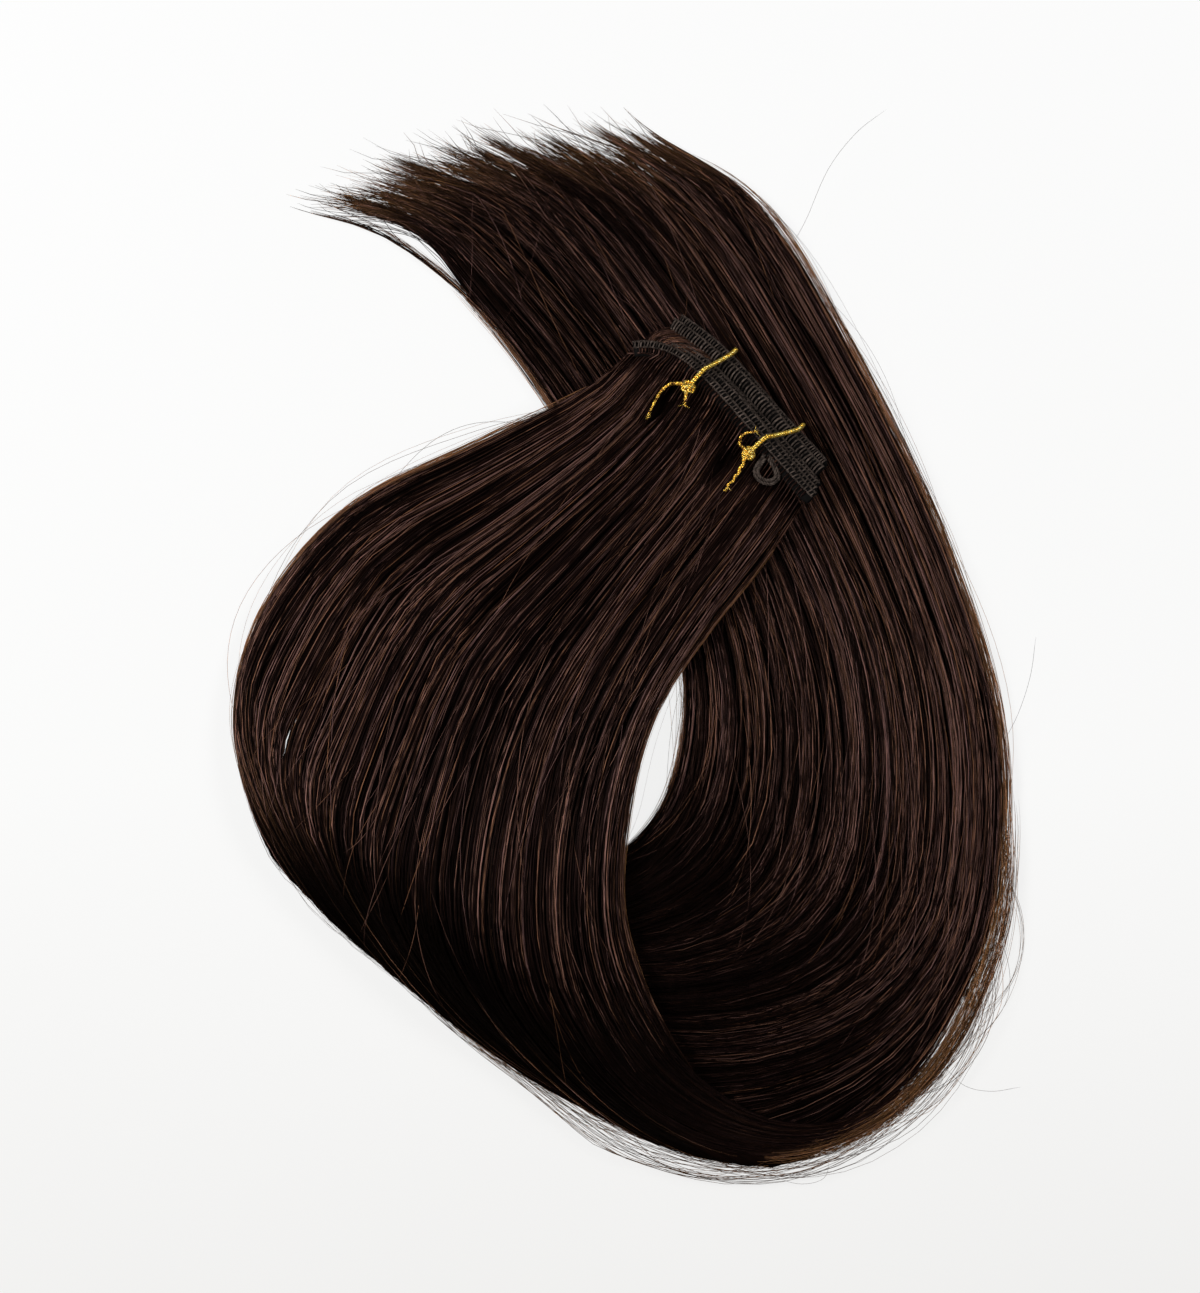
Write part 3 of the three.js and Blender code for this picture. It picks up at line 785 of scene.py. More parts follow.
def lay(rng, locks, home, station, share, above, face, width, tone, reach):
    """Strands on a path of stations and shares; home says which lock and wisp each one belongs to."""
    count, points = station.shape
    lock = np.clip(np.searchsorted(locks["sides"], home[:, 0]) - 1, 0, LOCKS - 1)
    left = locks["sides"][lock]
    right = locks["sides"][lock + 1]
    off = 2 * (home[:, 0] - left) / (right - left) - 1
    wisp = np.clip(WISPS * (home[:, 0] - locks["low"]) / (1 - locks["low"]), 0, WISPS - 1).astype(int)
    crown = 0.2 * (1 - off**2) - 0.1 + locks["height"][lock] + locks["wisp_height"][wisp]
    swing = locks["wisp_rate"][wisp, None] * station + locks["wisp_turn"][wisp, None]
    sway = locks["wisp_sway"][wisp, None] * np.sin(swing)
    for part in range(2):
        turn = locks["rate"][lock, part, None] * station + locks["turn"][lock, part, None]
        sway += locks["sway"][lock, part, None] * np.sin(turn)
    stray = (rng.random((count, 1)) < 0.1) * wave(rng, station, 0.018, 0.3, 0.8)
    loose = smoothstep(station, 0.1, 1.6) * smoothstep(share, -0.01, 0.03)
    loose = loose * (1 - smoothstep(share, 0.97, 1.01))
    share = share + loose * (sway + stray + wave(rng, station, 0.0009, 0.4, 1.4))
    share, dent = parted(station, np.clip(share, 0.001, 0.999))
    rise = above + loose * (crown[:, None] + wave(rng, station, 0.14, 0.7, 1.8)) - 0.6 * dent
    if face > 0:
        rise = rise - roll_inset(station, share)
    place, across = surface(station, within(station, share, face), rise, face)
    light = np.clip(locks["wisp_tone"][wisp, None] + 0.3 * np.sin(2.1 * swing), 0, 1)
    # Painted shade and shadow from lit_share and edge_shade, and painted shade in the dents of the partings
    shade = lit_share(station + rng.normal(0, 0.15, (count, 1)), share, face)
    if face < 0:
        shade = shade * edge_shade(place)
    tone = np.clip(tone[:, None] * (0.55 + 0.9 * light) * shade / (1 + 1.5 * dent), 0, 1)
    hue_and_shade = 0.5 * locks["wisp_hue"][wisp] + 0.5 * rng.random(count)
    sharp = 6 if face > 0 else 25
    return tubes(place, tapered(width, points, sharp), 3, across, tone, reach, hue_and_shade, station)


def body_width(rng, count):
    """Fine strands, and among them small bundles that lie as one."""
    fine = rng.uniform(0.06, 0.1, (count, 1))
    bundle = rng.uniform(0.1, 0.14, (count, 1))
    return np.where(rng.random((count, 1)) < 0.35, bundle, fine)


def body_tone(rng, above):
    """Most strands are dark and some bright; those that lie deeper get painted shade."""
    count = len(above)
    lit = smoothstep(above[:, 0], -1.2, 0.0)
    bright = rng.random(count) < 0.3
    return (0.1 + 0.9 * lit) * np.where(bright, rng.uniform(0.6, 1.0, count), rng.beta(1.2, 3.4, count))


def upper_flow(rng, home, station):
    """Strands turn along the roll as they near it. Those with no home at the root join at the left edge."""
    turn = ROLL_TURN * np.maximum(0, station - 4.4) ** 2 * (1 - np.maximum(home, 0)) ** 0.8
    rim = rng.uniform(0, 0.02, home.shape) * (home < 0)
    return rim + EDGE_SOFT * np.logaddexp(0, (home + turn) / EDGE_SOFT)


def lower_flow(home, station):
    """Strands leave the fold shifted to its inner side and spread out from there to their own shares."""
    turn = FAN * FAN_SOFT * np.logaddexp(0, (8.3 + home - station) / FAN_SOFT)
    return 1 / (1 + (1 / home - 1) * np.exp(turn))


def upper_strands(rng, count, low, high):
    """Strands of the upper sweep with homes from low to high, from the track over the roll."""
    home = rng.uniform(low, high, (count, 1))
    start = np.where(home < 0, rng.uniform(2.4, 4.3, (count, 1)), rng.uniform(0.02, 0.06, (count, 1)))
    end = rng.uniform(6.5, 7.1, (count, 1))
    run = np.interp(np.linspace(0, 1, POINTS_UPPER), [0, 0.45, 1], [0, 0.6, 1])
    station = start + (end - start) * run
    above = rng.uniform(-1.2, 0.1, (count, 1)) + 0 * station
    share = upper_flow(rng, home, station)
    width = body_width(rng, count)
    tone = body_tone(rng, above) * np.where(home[:, 0] < 0, 0.85, 1)
    return lay(rng, UPPER_LOCKS, home, station, share, above, 1, width, tone, 0 * station)


# Tips gather in tufts
def tuft_table():
    """Sides of the tufts across the hair, and each tuft's end station and sideways lean."""
    rng = np.random.default_rng(5)
    widths = rng.uniform(0.4, 1.6, TUFTS)
    sides = np.concatenate([[0], np.cumsum(widths)]) / widths.sum()
    middles = (sides[1:] + sides[:-1]) / 2
    notch = 0.3 * bell(middles, 0.72, 0.03) + 0.5 * np.exp(-middles / 0.06)
    fuller = 0.12 * bell(middles, 0.35, 0.25)
    ends = TIPS + rng.uniform(-0.28, 0.12, TUFTS) - notch + fuller
    leans = rng.normal(0, 0.009, TUFTS)
    return sides, ends, leans


def tuft_shape(share):
    """The tuft of a share, the tuft's middle, and how far off it the share lies: 1 at the tuft's sides."""
    tuft = np.clip(np.searchsorted(TUFT_SIDES, share) - 1, 0, TUFTS - 1)
    centre = (TUFT_SIDES[tuft] + TUFT_SIDES[tuft + 1]) / 2
    off = 2 * np.abs(share - centre) / (TUFT_SIDES[tuft + 1] - TUFT_SIDES[tuft])
    return tuft, centre, off


def tufted(rng, share):
    """The end station of each strand, and how far its share moves towards its tuft."""
    tuft, centre, off = tuft_shape(share)
    end = TUFT_ENDS[tuft] - 0.15 * off - 0.34 * rng.beta(1.0, 2.2, share.shape)
    end = np.where(share < LONE_LOCK, 14.9 - 0.3 * rng.random(share.shape), end)
    move = 0.5 * (centre - share) + TUFT_LEANS[tuft] + rng.normal(0, 0.008, share.shape)
    return end, move


def beside_lone_lock(home, station):
    """How far the tips' strands lie aside from the lock at the inner edge."""
    aside = np.where(home > LONE_LOCK, 0.06 * np.exp(-(home - LONE_LOCK) / 0.08), -0.004)
    return aside * smoothstep(station, 13.1, 14.0)


def tip_reach(station, end):
    """0 along a strand and rising to 1 over its last centimetre and a half."""
    return np.clip(1 - (end - station) / 0.5, 0, 1)


def lower_strands(rng, count, low, high):
    """Strands of the lower sweep with homes from low to high, from the fold to the tips."""
    home = rng.uniform(low, high, (count, 1))
    end, move = tufted(rng, home)
    start = rng.uniform(6.2, 6.8, (count, 1))
    station = start + (end - start) * np.linspace(0, 1, POINTS_LOWER)
    share = lower_flow(home, station) + move * smoothstep(station, 13.6, 15.1)
    share = share + beside_lone_lock(home, station)
    above = rng.uniform(-1.2, 0.1, (count, 1)) + 0 * station
    width = body_width(rng, count)
    # Painted golden glow of light shining through the thin ends of the tufts
    reach = rng.uniform(0.1, 0.7, (count, 1)) * tip_reach(station, end)
    return lay(rng, LOWER_LOCKS, home, station, share, above, -1, width, body_tone(rng, above), reach)


def tip_strands(rng, count):
    """Single ends that fill out and fray the tufts, some of them wild."""
    home = rng.uniform(0.0, 1.0, (count, 1))
    end, move = tufted(rng, home)
    wild = rng.random((count, 1)) < 0.45
    end = end + np.where(wild, rng.uniform(-0.3, 0.36, (count, 1)), rng.uniform(-0.05, 0.15, (count, 1)))
    start = rng.uniform(13.2, 14.3, (count, 1))
    station = start + (end - start) * np.linspace(0, 1, POINTS_TIP)
    lean = np.where(wild, rng.normal(0, 0.12, (count, 1)), rng.normal(0, 0.02, (count, 1)))
    curl = np.where(wild, rng.normal(0, 0.05, (count, 1)), 0) * smoothstep(station, 14.5, 15.3) ** 2
    splay = lean * smoothstep(station, 13.6, 15.3) + curl
    share = home + move * smoothstep(station, 13.6, 15.1) + beside_lone_lock(home, station) + splay
    above = rng.uniform(-1.6, 0.1, (count, 1)) + 0.5 * wild * smoothstep(station, 13.6, 15.0)
    width = rng.uniform(0.055, 0.095, (count, 1))
    tone = rng.beta(0.8, 1.5, count)
    # Painted golden glow of light shining through the thin ends of the tufts
    reach = rng.uniform(0.1, 1.0, (count, 1)) * tip_reach(station, end)
    return lay(rng, LOWER_LOCKS, home, station, share, above, -1, width, tone, reach)


def stretches(rng, count, start, end, shortest, longest, points):
    """Stretches of random length and place between two stations.

    Gives the middle of each, the run along them from -1 to 1 and their stations.
    """
    half = rng.uniform(shortest, longest, (count, 1)) / 2
    centre = start + half + (end - start - 2 * half) * rng.random((count, 1))
    run = np.linspace(-1, 1, points)
    return centre, run, centre + half * run


def stray_strands(rng, count, face, low, high):
    """Single bright strands that cross the others on top."""
    centre, run, station = stretches(rng, count, low, high, 0.8, 2.2, POINTS_STRAY)
    bow = rng.normal(0, 0.012, (count, 1)) * run**2
    slope = rng.normal(0, 0.05, (count, 1)) * (1 + 1.5 * smoothstep(centre, 11.5, 13.5))
    share = rng.uniform(0.04, 0.96, (count, 1)) + slope * (station - centre) + bow
    share = np.clip(share, 0.01, 0.99)
    above = 0.5 * (1 - run**2) - 0.15 + 0 * station
    place, across = surface(station, share, above, face)
    width = rng.uniform(0.035, 0.06, (count, 1))
    tone = rng.uniform(0.6, 1, count)
    radii = tapered(width, POINTS_STRAY)
    return tubes(place, radii, 3, across, tone, 0 * station, rng.random(count), station)


# Loose strands along the side edges, round the bend and off the roll
def edge_place(station, left, face, out, up):
    """Points out from the dense hair's side and up from its middle height, and the way out."""
    share = within(station, np.full_like(station, 0.0 if left else 1.0), face)
    inside = share + (0.05 if left else -0.05)
    edge = middle(station, share)
    along = np.gradient(edge, axis=1)
    side = edge - middle(station, inside)
    along[..., 2] = 0
    side[..., 2] = 0
    along = unit(along)
    side = unit(side - along * np.sum(side * along, axis=-1, keepdims=True))
    points = edge + side * out[..., None]
    points[..., 2] = np.maximum(points[..., 2] + up, FLOOR_GAP)
    return points, side


def edge_strands(rng, count, left, start, end, shortest, longest, near, far, slack, radius):
    """Strands that follow an edge between two distances out of it, and bow out by slack in between."""
    _, run, station = stretches(rng, count, start, end, shortest, longest, POINTS_EDGE)
    bow = np.minimum(rng.exponential(slack, (count, 1)), MOST_SLACK) * (1 - run**2) ** 1.5
    out = near + (far - near) * rng.beta(1.2, 1.6, (count, 1))
    out = out + bow - 0.8 * run**6 + wave(rng, station, 0.2, 0.8, 2.5)
    out = out + rng.normal(0, 0.25 * slack, (count, 1)) * run
    up = rng.uniform(-0.5, 1.2, (count, 1)) + 0.3 * bow
    face = 1 if start < FOLD else -1
    points, side = edge_place(station, left, face, out, up)
    width = radius * rng.uniform(0.6, 1.2, (count, 1))
    tone = rng.uniform(0.1, 1.0, count)
    hue_and_shade = rng.uniform(0.4, 1, count)
    # Painted golden glow of light shining through thin hair, stronger the farther out of the dense hair
    gold = rng.random((count, 1)) ** 0.8 * np.clip(0.85 + 0.15 * out, 0.1, 1)
    return tubes(points, tapered(width, POINTS_EDGE), 3, side, tone, gold, hue_and_shade, station)


def bend_strands(rng, count, loose):
    """Strands that run round the bend along the outline, and bow off it by up to loose."""
    points = smooth_path(BEND, BEND_STEPS)
    along = unit(np.gradient(points, axis=0))
    outward = unit(np.stack([along[:, 1], -along[:, 0], 0 * along[:, 0]], axis=-1))
    bundle = rng.integers(0, BEND_BUNDLES, (count, 1))
    half = rng.uniform(30, 110, BEND_BUNDLES)[bundle]
    centre = half + (BEND_STEPS - 1 - 2 * half) * rng.random(BEND_BUNDLES)[bundle]
    run = np.linspace(-1, 1, POINTS_EDGE)
    place = np.clip(centre + rng.normal(0, 8, (count, 1)) + half * run, 0, BEND_STEPS - 1.1)
    station = place / STATION_STEPS
    side = outward[place.astype(int)]
    bow = loose * (1 - np.exp(-rng.exponential(1.7, BEND_BUNDLES)[bundle] ** 2 / loose))
    bow = bow * rng.uniform(0.8, 1.1, (count, 1))
    lean = rng.normal(0, 1.5, BEND_BUNDLES)[bundle] * run + wave(rng, station, 0.4, 0.8, 4.0)
    near = rng.uniform(-2.4, 1.8, BEND_BUNDLES)[bundle] + rng.normal(0, 0.5, (count, 1))
    out = (near + bow * (1 - run**2) + lean) * (0.45 + 0.55 * smoothstep(place, 60, 130)) - 1.5 * run**6
    path = at_place(points, place) + side * np.minimum(out, 1.1 * loose)[..., None]
    path[..., 2] = np.maximum(path[..., 2] + rng.uniform(-2, 1.5, (count, 1)), FLOOR_GAP)
    width = rng.uniform(0.045, 0.085, (count, 1))
    tone = 0.6 * rng.random(count)
    # Painted golden glow of light shining through the thin loose strands
    gold = rng.uniform(0.2, 1.0, (count, 1)) + 0 * place
    return tubes(path, tapered(width, POINTS_EDGE), 3, side, tone, gold, rng.random(count), station)


def turn_strands(rng, count):
    """Strands on the roll's lip that turn round its end into the lower sweep."""
    courses = np.array([smooth_path(course, TURN_STEPS) for course in TURN])
    share = rng.random((count, 1))
    start = rng.uniform(0, 80, (count, 1))
    end = rng.uniform(120, TURN_STEPS - 2, (count, 1)) - 45 * share
    place = start + (end - start) * np.linspace(0, 1, POINTS_EDGE)
    station = place / STATION_STEPS
    wander = np.clip(share + wave(rng, station, 0.04, 0.4, 1.2), 0, 1)
    weights = np.moveaxis(three_weights(wander), -1, 0)[..., None]
    path = np.sum(weights * at_place(courses, place), axis=0)
    path[..., 2] += rng.uniform(-0.6, 0.4, (count, 1))
    # Painted shade where they start on the roll's lip, and a painted golden glow at the turn's outer side
    tone = rng.uniform(0.05, 0.45, (count, 1)) * (0.4 + 0.6 * smoothstep(place, 30, 150))
    gold = 0.8 * rng.random((count, 1)) ** 2 * smoothstep(wander, 0.7, 1) * smoothstep(place, 100, 140)
    radii = tapered(body_width(rng, count), POINTS_EDGE)
    return tubes(path, radii, 3, sideways(path), tone, gold, rng.random(count), station)


def roll_strands(rng, count, slack):
    """Slack strands that stand a little off the roll and run along it."""
    home = rng.uniform(ROLL_HOME, 0.75, (count, 1))
    centre = rng.uniform(5.9, 6.6, (count, 1))
    half = rng.uniform(0.9, 1.6, (count, 1))
    run = np.linspace(-1, 1, POINTS_EDGE)
    station = centre + half * run
    off = np.minimum(rng.exponential(slack, (count, 1)), 4.0) * (1 - run**2) ** 1.5
    share = np.clip(upper_flow(rng, home, np.minimum(station, FOLD)), 0.002, 0.998)
    place, across = surface(station, within(station, share, 1), 0.1 + off - roll_inset(station, share), 1)
    width = rng.uniform(0.03, 0.06, (count, 1))
    # Painted shade from lit_share, except where they stand off the roll; their painted golden glow follows
    # it
    lit = np.maximum(lit_share(station, share, 1), np.clip(off - 0.6, 0, 1))
    tone = rng.uniform(0.3, 0.9, (count, 1)) * lit
    return tubes(place, tapered(width, POINTS_EDGE), 3, across, tone, 0.5 * lit, rng.random(count), station)


def loose_ends(rng):
    """Long single hairs that spring away from the outline."""
    shells = []
    radii = tapered(np.full((1, 1), 0.045), POINTS_LOOSE)
    tone = np.full(1, 0.5)
    reach = np.zeros((1, POINTS_LOOSE))
    for points in LOOSE_ENDS:
        path = smooth_path(points, POINTS_LOOSE)[None]
        shells.append(tubes(path, radii, 3, sideways(path), tone, reach, rng.random(1)))
    return shells


ALL_PARTINGS = PARTINGS + small_partings()
TUFT_SIDES, TUFT_ENDS, TUFT_LEANS = tuft_table()
UPPER_LOCKS = lock_table(3, ROLL_HOME)
LOWER_LOCKS = lock_table(4, 0.0)


def build_hair():
    """The two dark masses, the strands on them, and the loose strands round them."""
    upper_spans = ((0.007, SLIT_SHARE, 12), (SLIT_SHARE, 0.993, 74))
    core_upper = core("hair_core_upper", 1, 0.05, 6.95, 60, upper_spans)
    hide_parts("hair")
    core_lower = core("hair_core_lower", -1, 6.2, 14.6, 66, ((0.004, 0.993, 90),))
    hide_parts("hair")
    rng = np.random.default_rng(11)
    add_piece("hair_upper_left", [upper_strands(rng, 1250, ROLL_HOME, 0.45)], HAIR)
    add_piece("hair_upper_right", [upper_strands(rng, 950, 0.45, 0.996)], HAIR)
    add_piece("hair_lower_left", [lower_strands(rng, 850, 0.004, 0.5)], HAIR)
    add_piece("hair_lower_right", [lower_strands(rng, 850, 0.5, 0.996)], HAIR)
    add_piece("hair_tips", [tip_strands(rng, 1400)], HAIR)
    edges = [edge_strands(rng, *row) for row in EDGE_ROWS]
    add_piece("hair_edges", edges, HAIR)
    loose = [
        bend_strands(rng, 240, MOST_LOOSE),
        bend_strands(rng, 170, LEAST_LOOSE),
        turn_strands(rng, 260),
        roll_strands(rng, 100, 0.7),
        stray_strands(rng, 90, 1, 0.2, 6.0),
        stray_strands(rng, 170, -1, 8.2, 14.9),
    ]
    add_piece("hair_loose", loose + loose_ends(rng), HAIR)


# Track
def row_edge(track_pass, share):
    """A point on the back edge of a pass, or between two passes."""
    track_pass = np.asarray(track_pass, float) + 0 * share
    back = np.interp(track_pass, np.arange(PASSES), PASS_BACK)[..., None, None]
    corners = ROWS[0] + (ROWS[1] - ROWS[0]) * back
    plan = np.einsum("...k,...kd->...d", four_weights(share), corners)
    plan = plan + 0.22 * np.sin(9 * share + 2.3 * track_pass)[..., None]
    height = TOP_HEIGHT - PASS_PITCH * track_pass
    return np.concatenate([plan, height[..., None]], axis=-1)


def hairward(track_pass, share):
    """The level direction from the back edge of a pass towards the hair."""
    row = row_edge(track_pass, share + 0.01) - row_edge(track_pass, share - 0.01)
    return unit(np.stack([row[..., 1], -row[..., 0], 0 * row[..., 0]], axis=-1))


def strip_point(track_pass, share, width, height):
    """A point of a pass: width from the back edge towards the hair, height above its middle."""
    out = hairward(track_pass, share) * (width + 0 * share)[..., None]
    up = np.array([0, 0, 1.0]) * (height + 0 * share)[..., None]
    return row_edge(track_pass, share) + out + up


def folded_strip():
    """Sections of the whole folded strip in order: back edge, direction to the hair, and face normal."""
    edges = []
    fronts = []
    normals = []
    for number in range(PASSES):
        forward = number % 2 == 0
        side = 1 if forward else -1
        share = np.linspace(PASS_START[number], 1, 44)
        share = share if forward else share[::-1]
        edges.append(row_edge(number, share))
        fronts.append(hairward(number, share))
        normals.append(np.array([0, 0, side]) + 0 * edges[-1])
        if number == PASSES - 1:
            break
        angle = np.radians(np.linspace(0, 180, 9)[1:-1])
        blend = angle / math.pi
        first = 1.0 if forward else PASS_START[number]
        second = 1.0 if forward else PASS_START[number + 1]
        end = first + (second - first) * blend
        edge = row_edge(number + blend, end)
        front = hairward(number + blend, end)
        outward = side * np.stack([-front[:, 1], front[:, 0], 0 * front[:, 0]], axis=-1)
        edge[:, 2] = TOP_HEIGHT - (number + 0.5) * PASS_PITCH + PASS_PITCH / 2 * np.cos(angle)
        edge += outward * (PASS_PITCH / 2 * np.sin(angle))[:, None]
        edges.append(edge)
        fronts.append(front)
        up = np.array([0, 0, 1.0])
        normals.append(side * (np.cos(angle)[:, None] * up + np.sin(angle)[:, None] * outward))
    return np.concatenate(edges), np.concatenate(fronts), np.concatenate(normals)


def plain_tubes(paths, radii, sides, upward=(0, 0, 1.0), tone=0.0):
    """Tubes that don't run along upward, with one tone or a tone for each."""
    count, points = paths.shape[:2]
    flat = np.zeros((count, points))
    return tubes(paths, radii + flat, sides, sideways(paths, upward), tone + np.zeros(count), flat)


def twisted(path, radius, pitch, plies, sides, tone=0.0):
    """A cord of twisted plies along one path."""
    along = unit(np.gradient(path, axis=0))
    side = np.zeros_like(path)
    side[0] = unit(np.cross(along[0], [0.3, 0.2, 1.0]))
    for i in range(1, len(path)):
        side[i] = unit(side[i - 1] - along[i] * np.dot(side[i - 1], along[i]))
    up = np.cross(along, side)
    run = run_along(path)
    radius = radius + np.zeros(len(path))
    flat = np.zeros((1, len(path)))
    tones = np.full(1, tone)
    shells = []
    for ply in range(plies):
        angle = (2 * math.pi * (run / pitch + ply / plies))[:, None]
        offset = 0.48 * radius[:, None] * (np.cos(angle) * side + np.sin(angle) * up)
        shells.append(tubes((path + offset)[None], 0.56 * radius[None], sides, side[None], tones, flat))
    return shells


def rungs_on(rng, number, pitch, radius, rise, reach):
    """Thread wrapped across one pass, from its back edge as far as reach."""
    start = PASS_START[number]
    count = int(ROW_LENGTH * (1 - start) / pitch)
    place = start + (1 - start) * ((np.arange(count) + 0.5) / count + rng.normal(0, 0.0012, count))
    run = reach / STRIP_WIDTH * np.array([0.1, 0.45, 1.3, 2.3, 3.3, 4.0, STRIP_WIDTH])
    height = rise * np.array([0.0, 0.7, 1.0, 1.1, 1.0, 0.7, 0.0]) + rng.normal(0, 0.08, (count, 1))
    skew = (0.006 + rng.normal(0, 0.004, (count, 1))) * (run - 2.2) / 4 + 0.008 * ((run - 2.2) / 2.2) ** 2
    wrap = strip_point(number, place[:, None] + skew, run, height)
    radii = radius * rng.uniform(0.8, 1.2, (count, 1))
    return plain_tubes(wrap, radii, 5, tone=rng.uniform(0.25, 1.0, count))


def build_strip():
    """The folded strip under the stitches."""
    edge, front, normal = folded_strip()
    width = edge[:, None] + front[:, None] * STRIP_PROFILE[:, :1]
    rise = normal[:, None] * STRIP_PROFILE[:, 1:]
    # A tone of 0 gives the strip its nearly black colour with painted groove shade
    flat = np.zeros(width.shape[:2])
    shell = slab(width - rise, width + rise, flat, flat, flat)
    strip = add_piece("track_strip", [shell], THREAD)
    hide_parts("weft_track")


def build_stitches(rng):
    """Thread across every pass and along its edges, and the sewn-back end."""
    stitches = []
    for number in range(PASSES):
        wide = number == LADDER_PASS
        reach = FRONT_ROW if number == 0 else STRIP_WIDTH
        stitches.append(rungs_on(rng, number, 1.1 if wide else 0.95, 0.25 if wide else 0.2, 0.8, reach))
        line = np.linspace(PASS_START[number], 1, 220)
        stitches += twisted(strip_point(number, line, 0.15, 0.2), 0.36, 1.5, 2, 5, tone=0.45)
        if number in (0, LADDER_PASS):
            stitches += twisted(strip_point(number, line, reach - 0.2, 0.35), 0.3, 1.5, 2, 5, tone=0.6)
    centre = END_LOOP.mean(axis=0)
    for size, height in END_LOOP_CORDS:
        ring = centre + size * (END_LOOP - centre)
        loop = np.column_stack([ring, np.full(len(ring), TOP_HEIGHT - STRIP_THICK / 2 + height)])
        stitches += twisted(smooth_path(loop, 90), 0.5, 1.8, 2, 6, tone=0.55)
    add_piece("track_stitches", stitches, THREAD)


def build_roots(rng):
    """Small bundles of hair that leave the uppermost pass and go into the upper sweep."""
    row = np.linspace(0.03, 0.97, ROOTS) + rng.normal(0, 0.0014, ROOTS)
    on_strip = [
        strip_point(0, row, width, height)
        for width, height in ((FRONT_ROW, 0.4), (2.4, 0.75), (3.4, 0.8))
    ]
    station = 0.1 + np.linspace(0, 1, 6) * rng.uniform(0.15, 0.4, (ROOTS, 1))
    in_hair, _ = surface(station, row[:, None] + 0 * station, 0.25 - 0.9 * station, 1)
    path = np.concatenate([np.stack(on_strip, axis=1), in_hair], axis=1)
    points = path.shape[1]
    radii = np.linspace(0.27, 0.08, points) * rng.uniform(0.8, 1.15, (ROOTS, 1))
    tone = rng.uniform(0.15, 0.5, ROOTS)
    run = np.linspace(0, 1, points) * np.ones((ROOTS, 1))
    hue_and_shade = rng.uniform(0.4, 0.8, ROOTS)
    shell = tubes(path, radii, 4, sideways(path), tone, 0 * run, hue_and_shade, run)
    add_piece("hair_roots", [shell], HAIR)


def build_fan(rng):
    """Hair that crosses the left end of the header, from a low pass to the uppermost one."""
    low_share = rng.uniform(0.0, 0.3, (FAN_STRANDS, 1))[:, 0]
    begin = strip_point(4.3, low_share, 3.2, 0.9)
    high_share = 0.02 + 0.55 * low_share + rng.normal(0, 0.01, FAN_STRANDS)
    finish = strip_point(0.25, high_share, 2.6, 0.25)
    run = np.linspace(0, 1, POINTS_FAN)
    bulge = np.array([-1.1, 1.4, 1.2]) * np.sin(math.pi * run[:, None])
    bulge = bulge * rng.uniform(0.5, 1.1, (FAN_STRANDS, 1, 1))
    path = begin[:, None] + (finish - begin)[:, None] * run[:, None] + bulge
    radii = rng.uniform(0.06, 0.13, (FAN_STRANDS, 1)) * np.ones(POINTS_FAN)
    tone = rng.beta(1.6, 1.8, FAN_STRANDS)
    hue_and_shade = rng.uniform(0.3, 1, FAN_STRANDS)
    flat = np.zeros((FAN_STRANDS, POINTS_FAN))
    shell = tubes(path, radii, 3, sideways(path), tone, flat, hue_and_shade, flat + run)
    add_piece("hair_fan", [shell], HAIR)


def build_track():
    """The strip, its stitches and the hair that leaves it."""
    build_strip()
    rng = np.random.default_rng(21)
    build_stitches(rng)
    build_roots(rng)
    build_fan(rng)


# Ties
def knot_at(tie):
    """The middle of a cord's knot, on the hair in front of the uppermost pass."""
    knot = strip_point(0, np.array(tie["front"]), KNOT_REACH, 0)
    knot[2] = TOP_HEIGHT + STRIP_THICK / 2 + KNOT_LIFT
    return knot


def tie_round(tie):
    """The cord's round: from the knot back over the stepped passes, under them and up through the hair."""
    knot = knot_at(tie)
    clear = STRIP_THICK / 2 + 0.3 + CORD_RADIUS
    front = hairward(0, np.array(tie["front"]))
    over = []
    for number in (0, 1, LADDER_PASS, PASSES - 1):
        share = np.array(tie["front"] + (tie["back"] - tie["front"]) * PASS_BACK[number])
        over.append(strip_point(number, share, 0, clear + 0.4))
    back_edge = row_edge(PASSES - 1, np.array(tie["back"]))
    behind = -hairward(PASSES - 1, np.array(tie["back"])) * (clear + 0.25)
    back = back_edge + behind
    back_under = back_edge + 0.3 * behind - np.array([0, 0, clear])
    front_under = knot + 0.8 * front
    front_under[2] = back_under[2]
    rise = knot + 1.3 * front
    rise[2] = (knot[2] + front_under[2]) / 2
    return [knot, *over, back, back_under, front_under, rise, knot]


def knot_loops(rng, centre, count):
    """Crinkled turns of cord pulled tight round each other."""
    angle = np.linspace(0, 2 * math.pi, 40, endpoint=False)[:, None]
    shells = []
    for _ in range(count):
        axis = unit(rng.normal(0, 1, (2, 3)))
        first = axis[0]
        second = unit(axis[1] - first * np.dot(axis[1], first))
        size = KNOT_RADIUS * rng.uniform(0.65, 1.0)
        crinkle = 1 + 0.14 * np.sin(3 * angle + rng.uniform(0, 6)) + 0.08 * np.sin(7 * angle)
        place = centre + rng.normal(0, 0.25, 3)
        ring = place + size * crinkle * (np.cos(angle) * first + np.sin(angle) * second)
        ring = np.concatenate([ring, ring[:2]])
        shells += twisted(ring, 0.62 * CORD_RADIUS, 1.6, 2, 5)
    return shells


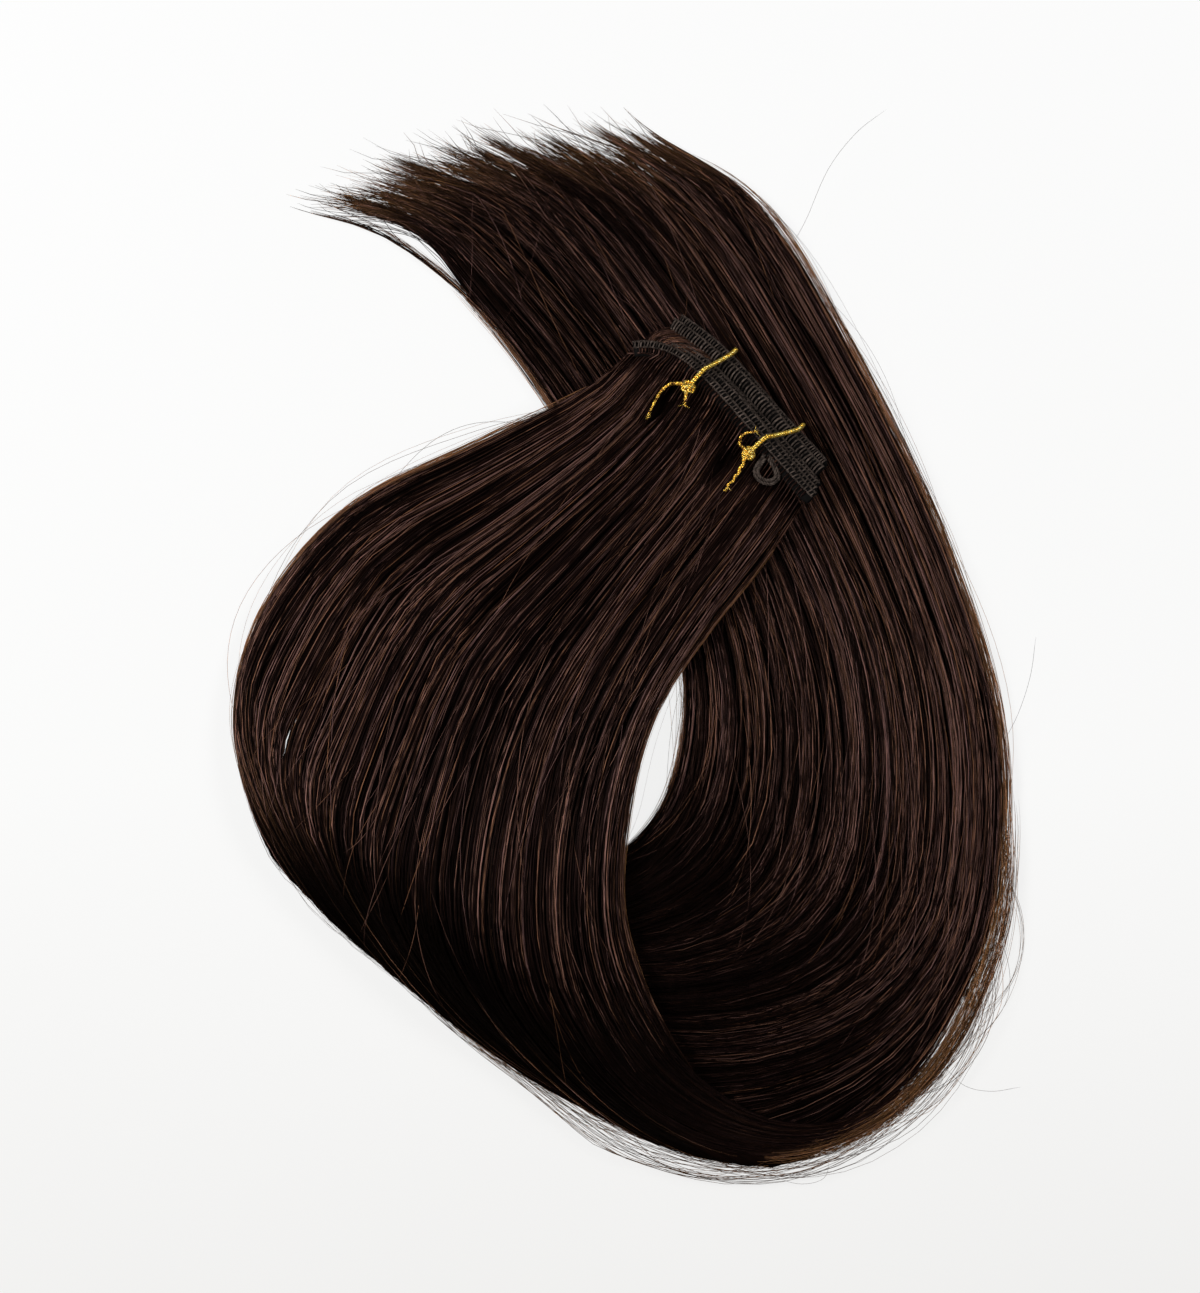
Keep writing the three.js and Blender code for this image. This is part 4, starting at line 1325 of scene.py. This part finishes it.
def cord_tail(rng, knot, steps):
    """A worn tail that starts in the knot and frays at its end."""
    path = smooth_path([knot] + [knot + np.array(step) for step in steps], TAIL_POINTS)
    wiggle = np.sin(np.linspace(0, 26, TAIL_POINTS) + rng.uniform(0, 6))[:, None]
    path += 0.12 * wiggle * rng.normal(0, 1, 3)
    lumps = 0.1 * np.sin(np.linspace(0, 40, TAIL_POINTS))
    radius = CORD_RADIUS * (np.linspace(0.9, 0.5, TAIL_POINTS) + lumps)
    tip = path[-1]
    heading = unit(tip - path[-6])
    spread = unit(heading + rng.normal(0, 0.5, (FRAYS, 3)))
    run = np.linspace(0, 1, 8)[:, None] * rng.uniform(0.8, 2.6, (FRAYS, 1, 1))
    curl = rng.normal(0, 0.25, (FRAYS, 1, 3)) * run**2
    fray = tip + spread[:, None] * run + 0.4 * curl
    fray[..., 2] = np.maximum(fray[..., 2], tip[2] - 0.3)
    ends = plain_tubes(fray, np.linspace(0.1, 0.04, 8), 4, (0.2, 0.1, 1.0), tone=0.5)
    return twisted(path, radius, 1.7, 2, 6, tone=1.0) + [ends]


def build_ties():
    """The two cords with their rounds, tails and knots."""
    rng = np.random.default_rng(31)
    for name, tie in TIES.items():
        knot = knot_at(tie)
        shells = twisted(smooth_path(tie_round(tie), ROUND_POINTS), CORD_RADIUS, 2.8, 3, 6)
        for steps in tie["tails"]:
            shells += cord_tail(rng, knot, steps)
        shells += knot_loops(rng, knot, KNOT_TURNS)
        cord = add_piece(f"{name}_cord", shells, GOLD)
        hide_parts(name)


# Stage, camera and light
def build_stage():
    """A pale floor that glows, with a painted fall-off of light that dims it a little towards the lower
    edge of the picture.
    """
    half = FLOOR_HALF
    corners = [(-half, -half, 0), (half, -half, 0), (half, half, 0), (-half, half, 0)]
    mesh = bpy.data.meshes.new("floor")
    mesh.from_pydata(corners, [], [(0, 1, 2, 3)])
    floor = bpy.data.objects.new("floor", mesh)
    nodes = Nodes("floor")
    place = nodes.place()
    axes = nodes.add("ShaderNodeSeparateXYZ")
    nodes.link(place, axes.inputs["Vector"])
    rise = nodes.spread(axes.outputs["Y"], 0.0, 1.0, -0.18, 0.18)
    glow = nodes.ramp(rise, [
        (0.0, (0.885, 0.88, 0.87)),
        (0.4, (0.97, 0.97, 0.965)),
        (1.0, (0.99, 0.99, 0.99)),
    ])
    paper = nodes.ramp(nodes.noise(place, 3.0), [(0.3, (0.14, 0.14, 0.138)), (0.7, (0.15, 0.15, 0.15))])
    nodes.link(paper, nodes.shader.inputs["Base Color"])
    nodes.link(glow, nodes.shader.inputs["Emission Color"])
    nodes.set(Roughness=0.8, Specular_IOR_Level=0.1, Emission_Strength=0.835)
    mesh.materials.append(nodes.material)
    bpy.context.scene.collection.objects.link(floor)
    floor.visible_diffuse = False
    floor.visible_glossy = False


def build_camera():
    """A camera that looks straight down on the part of the floor that the photograph shows."""
    lens = SENSOR * CAMERA_HEIGHT / (IMAGE_HEIGHT * PIXEL)
    data = bpy.data.cameras.new("camera")
    data.sensor_fit = "VERTICAL"
    data.sensor_height = SENSOR
    data.sensor_width = SENSOR
    data.lens = lens
    data.clip_end = 20.0
    camera = bpy.data.objects.new("camera", data)
    camera.location = (VIEW_CENTRE[0] * METRES, VIEW_CENTRE[1] * METRES, CAMERA_HEIGHT * METRES)
    bpy.context.scene.collection.objects.link(camera)
    bpy.context.scene.camera = camera


def area_light(name, place, size, power):
    """A round light aimed at the middle of the floor, in metres and watts."""
    data = bpy.data.lights.new(name, "AREA")
    data.shape = "DISK"
    data.size = size
    data.energy = power
    light = bpy.data.objects.new(name, data)
    light.location = place
    x, y, z = place
    light.rotation_euler = (math.atan2(math.hypot(x, y), z), 0, math.atan2(-y, -x) - math.pi / 2)
    bpy.context.scene.collection.objects.link(light)


def build_light():
    """A dim white world, two wide lights from the sides and a small one from above."""
    world = bpy.data.worlds.new("studio")
    world.use_nodes = True
    background = world.node_tree.nodes["Background"]
    background.inputs["Color"].default_value = (1.0, 1.0, 1.0, 1)
    background.inputs["Strength"].default_value = 0.06
    bpy.context.scene.world = world
    area_light("left_box", (-1.2, 0.15, 1.2), 0.8, 24.0)
    area_light("right_box", (1.2, 0.3, 1.4), 0.8, 14.0)
    area_light("top_spot", (-0.25, 0.35, 1.9), 0.15, 2.5)
    bpy.context.scene.view_settings.view_transform = "Standard"


build_camera()
build_light()
build_stage()
build_hair()
build_track()
build_ties()
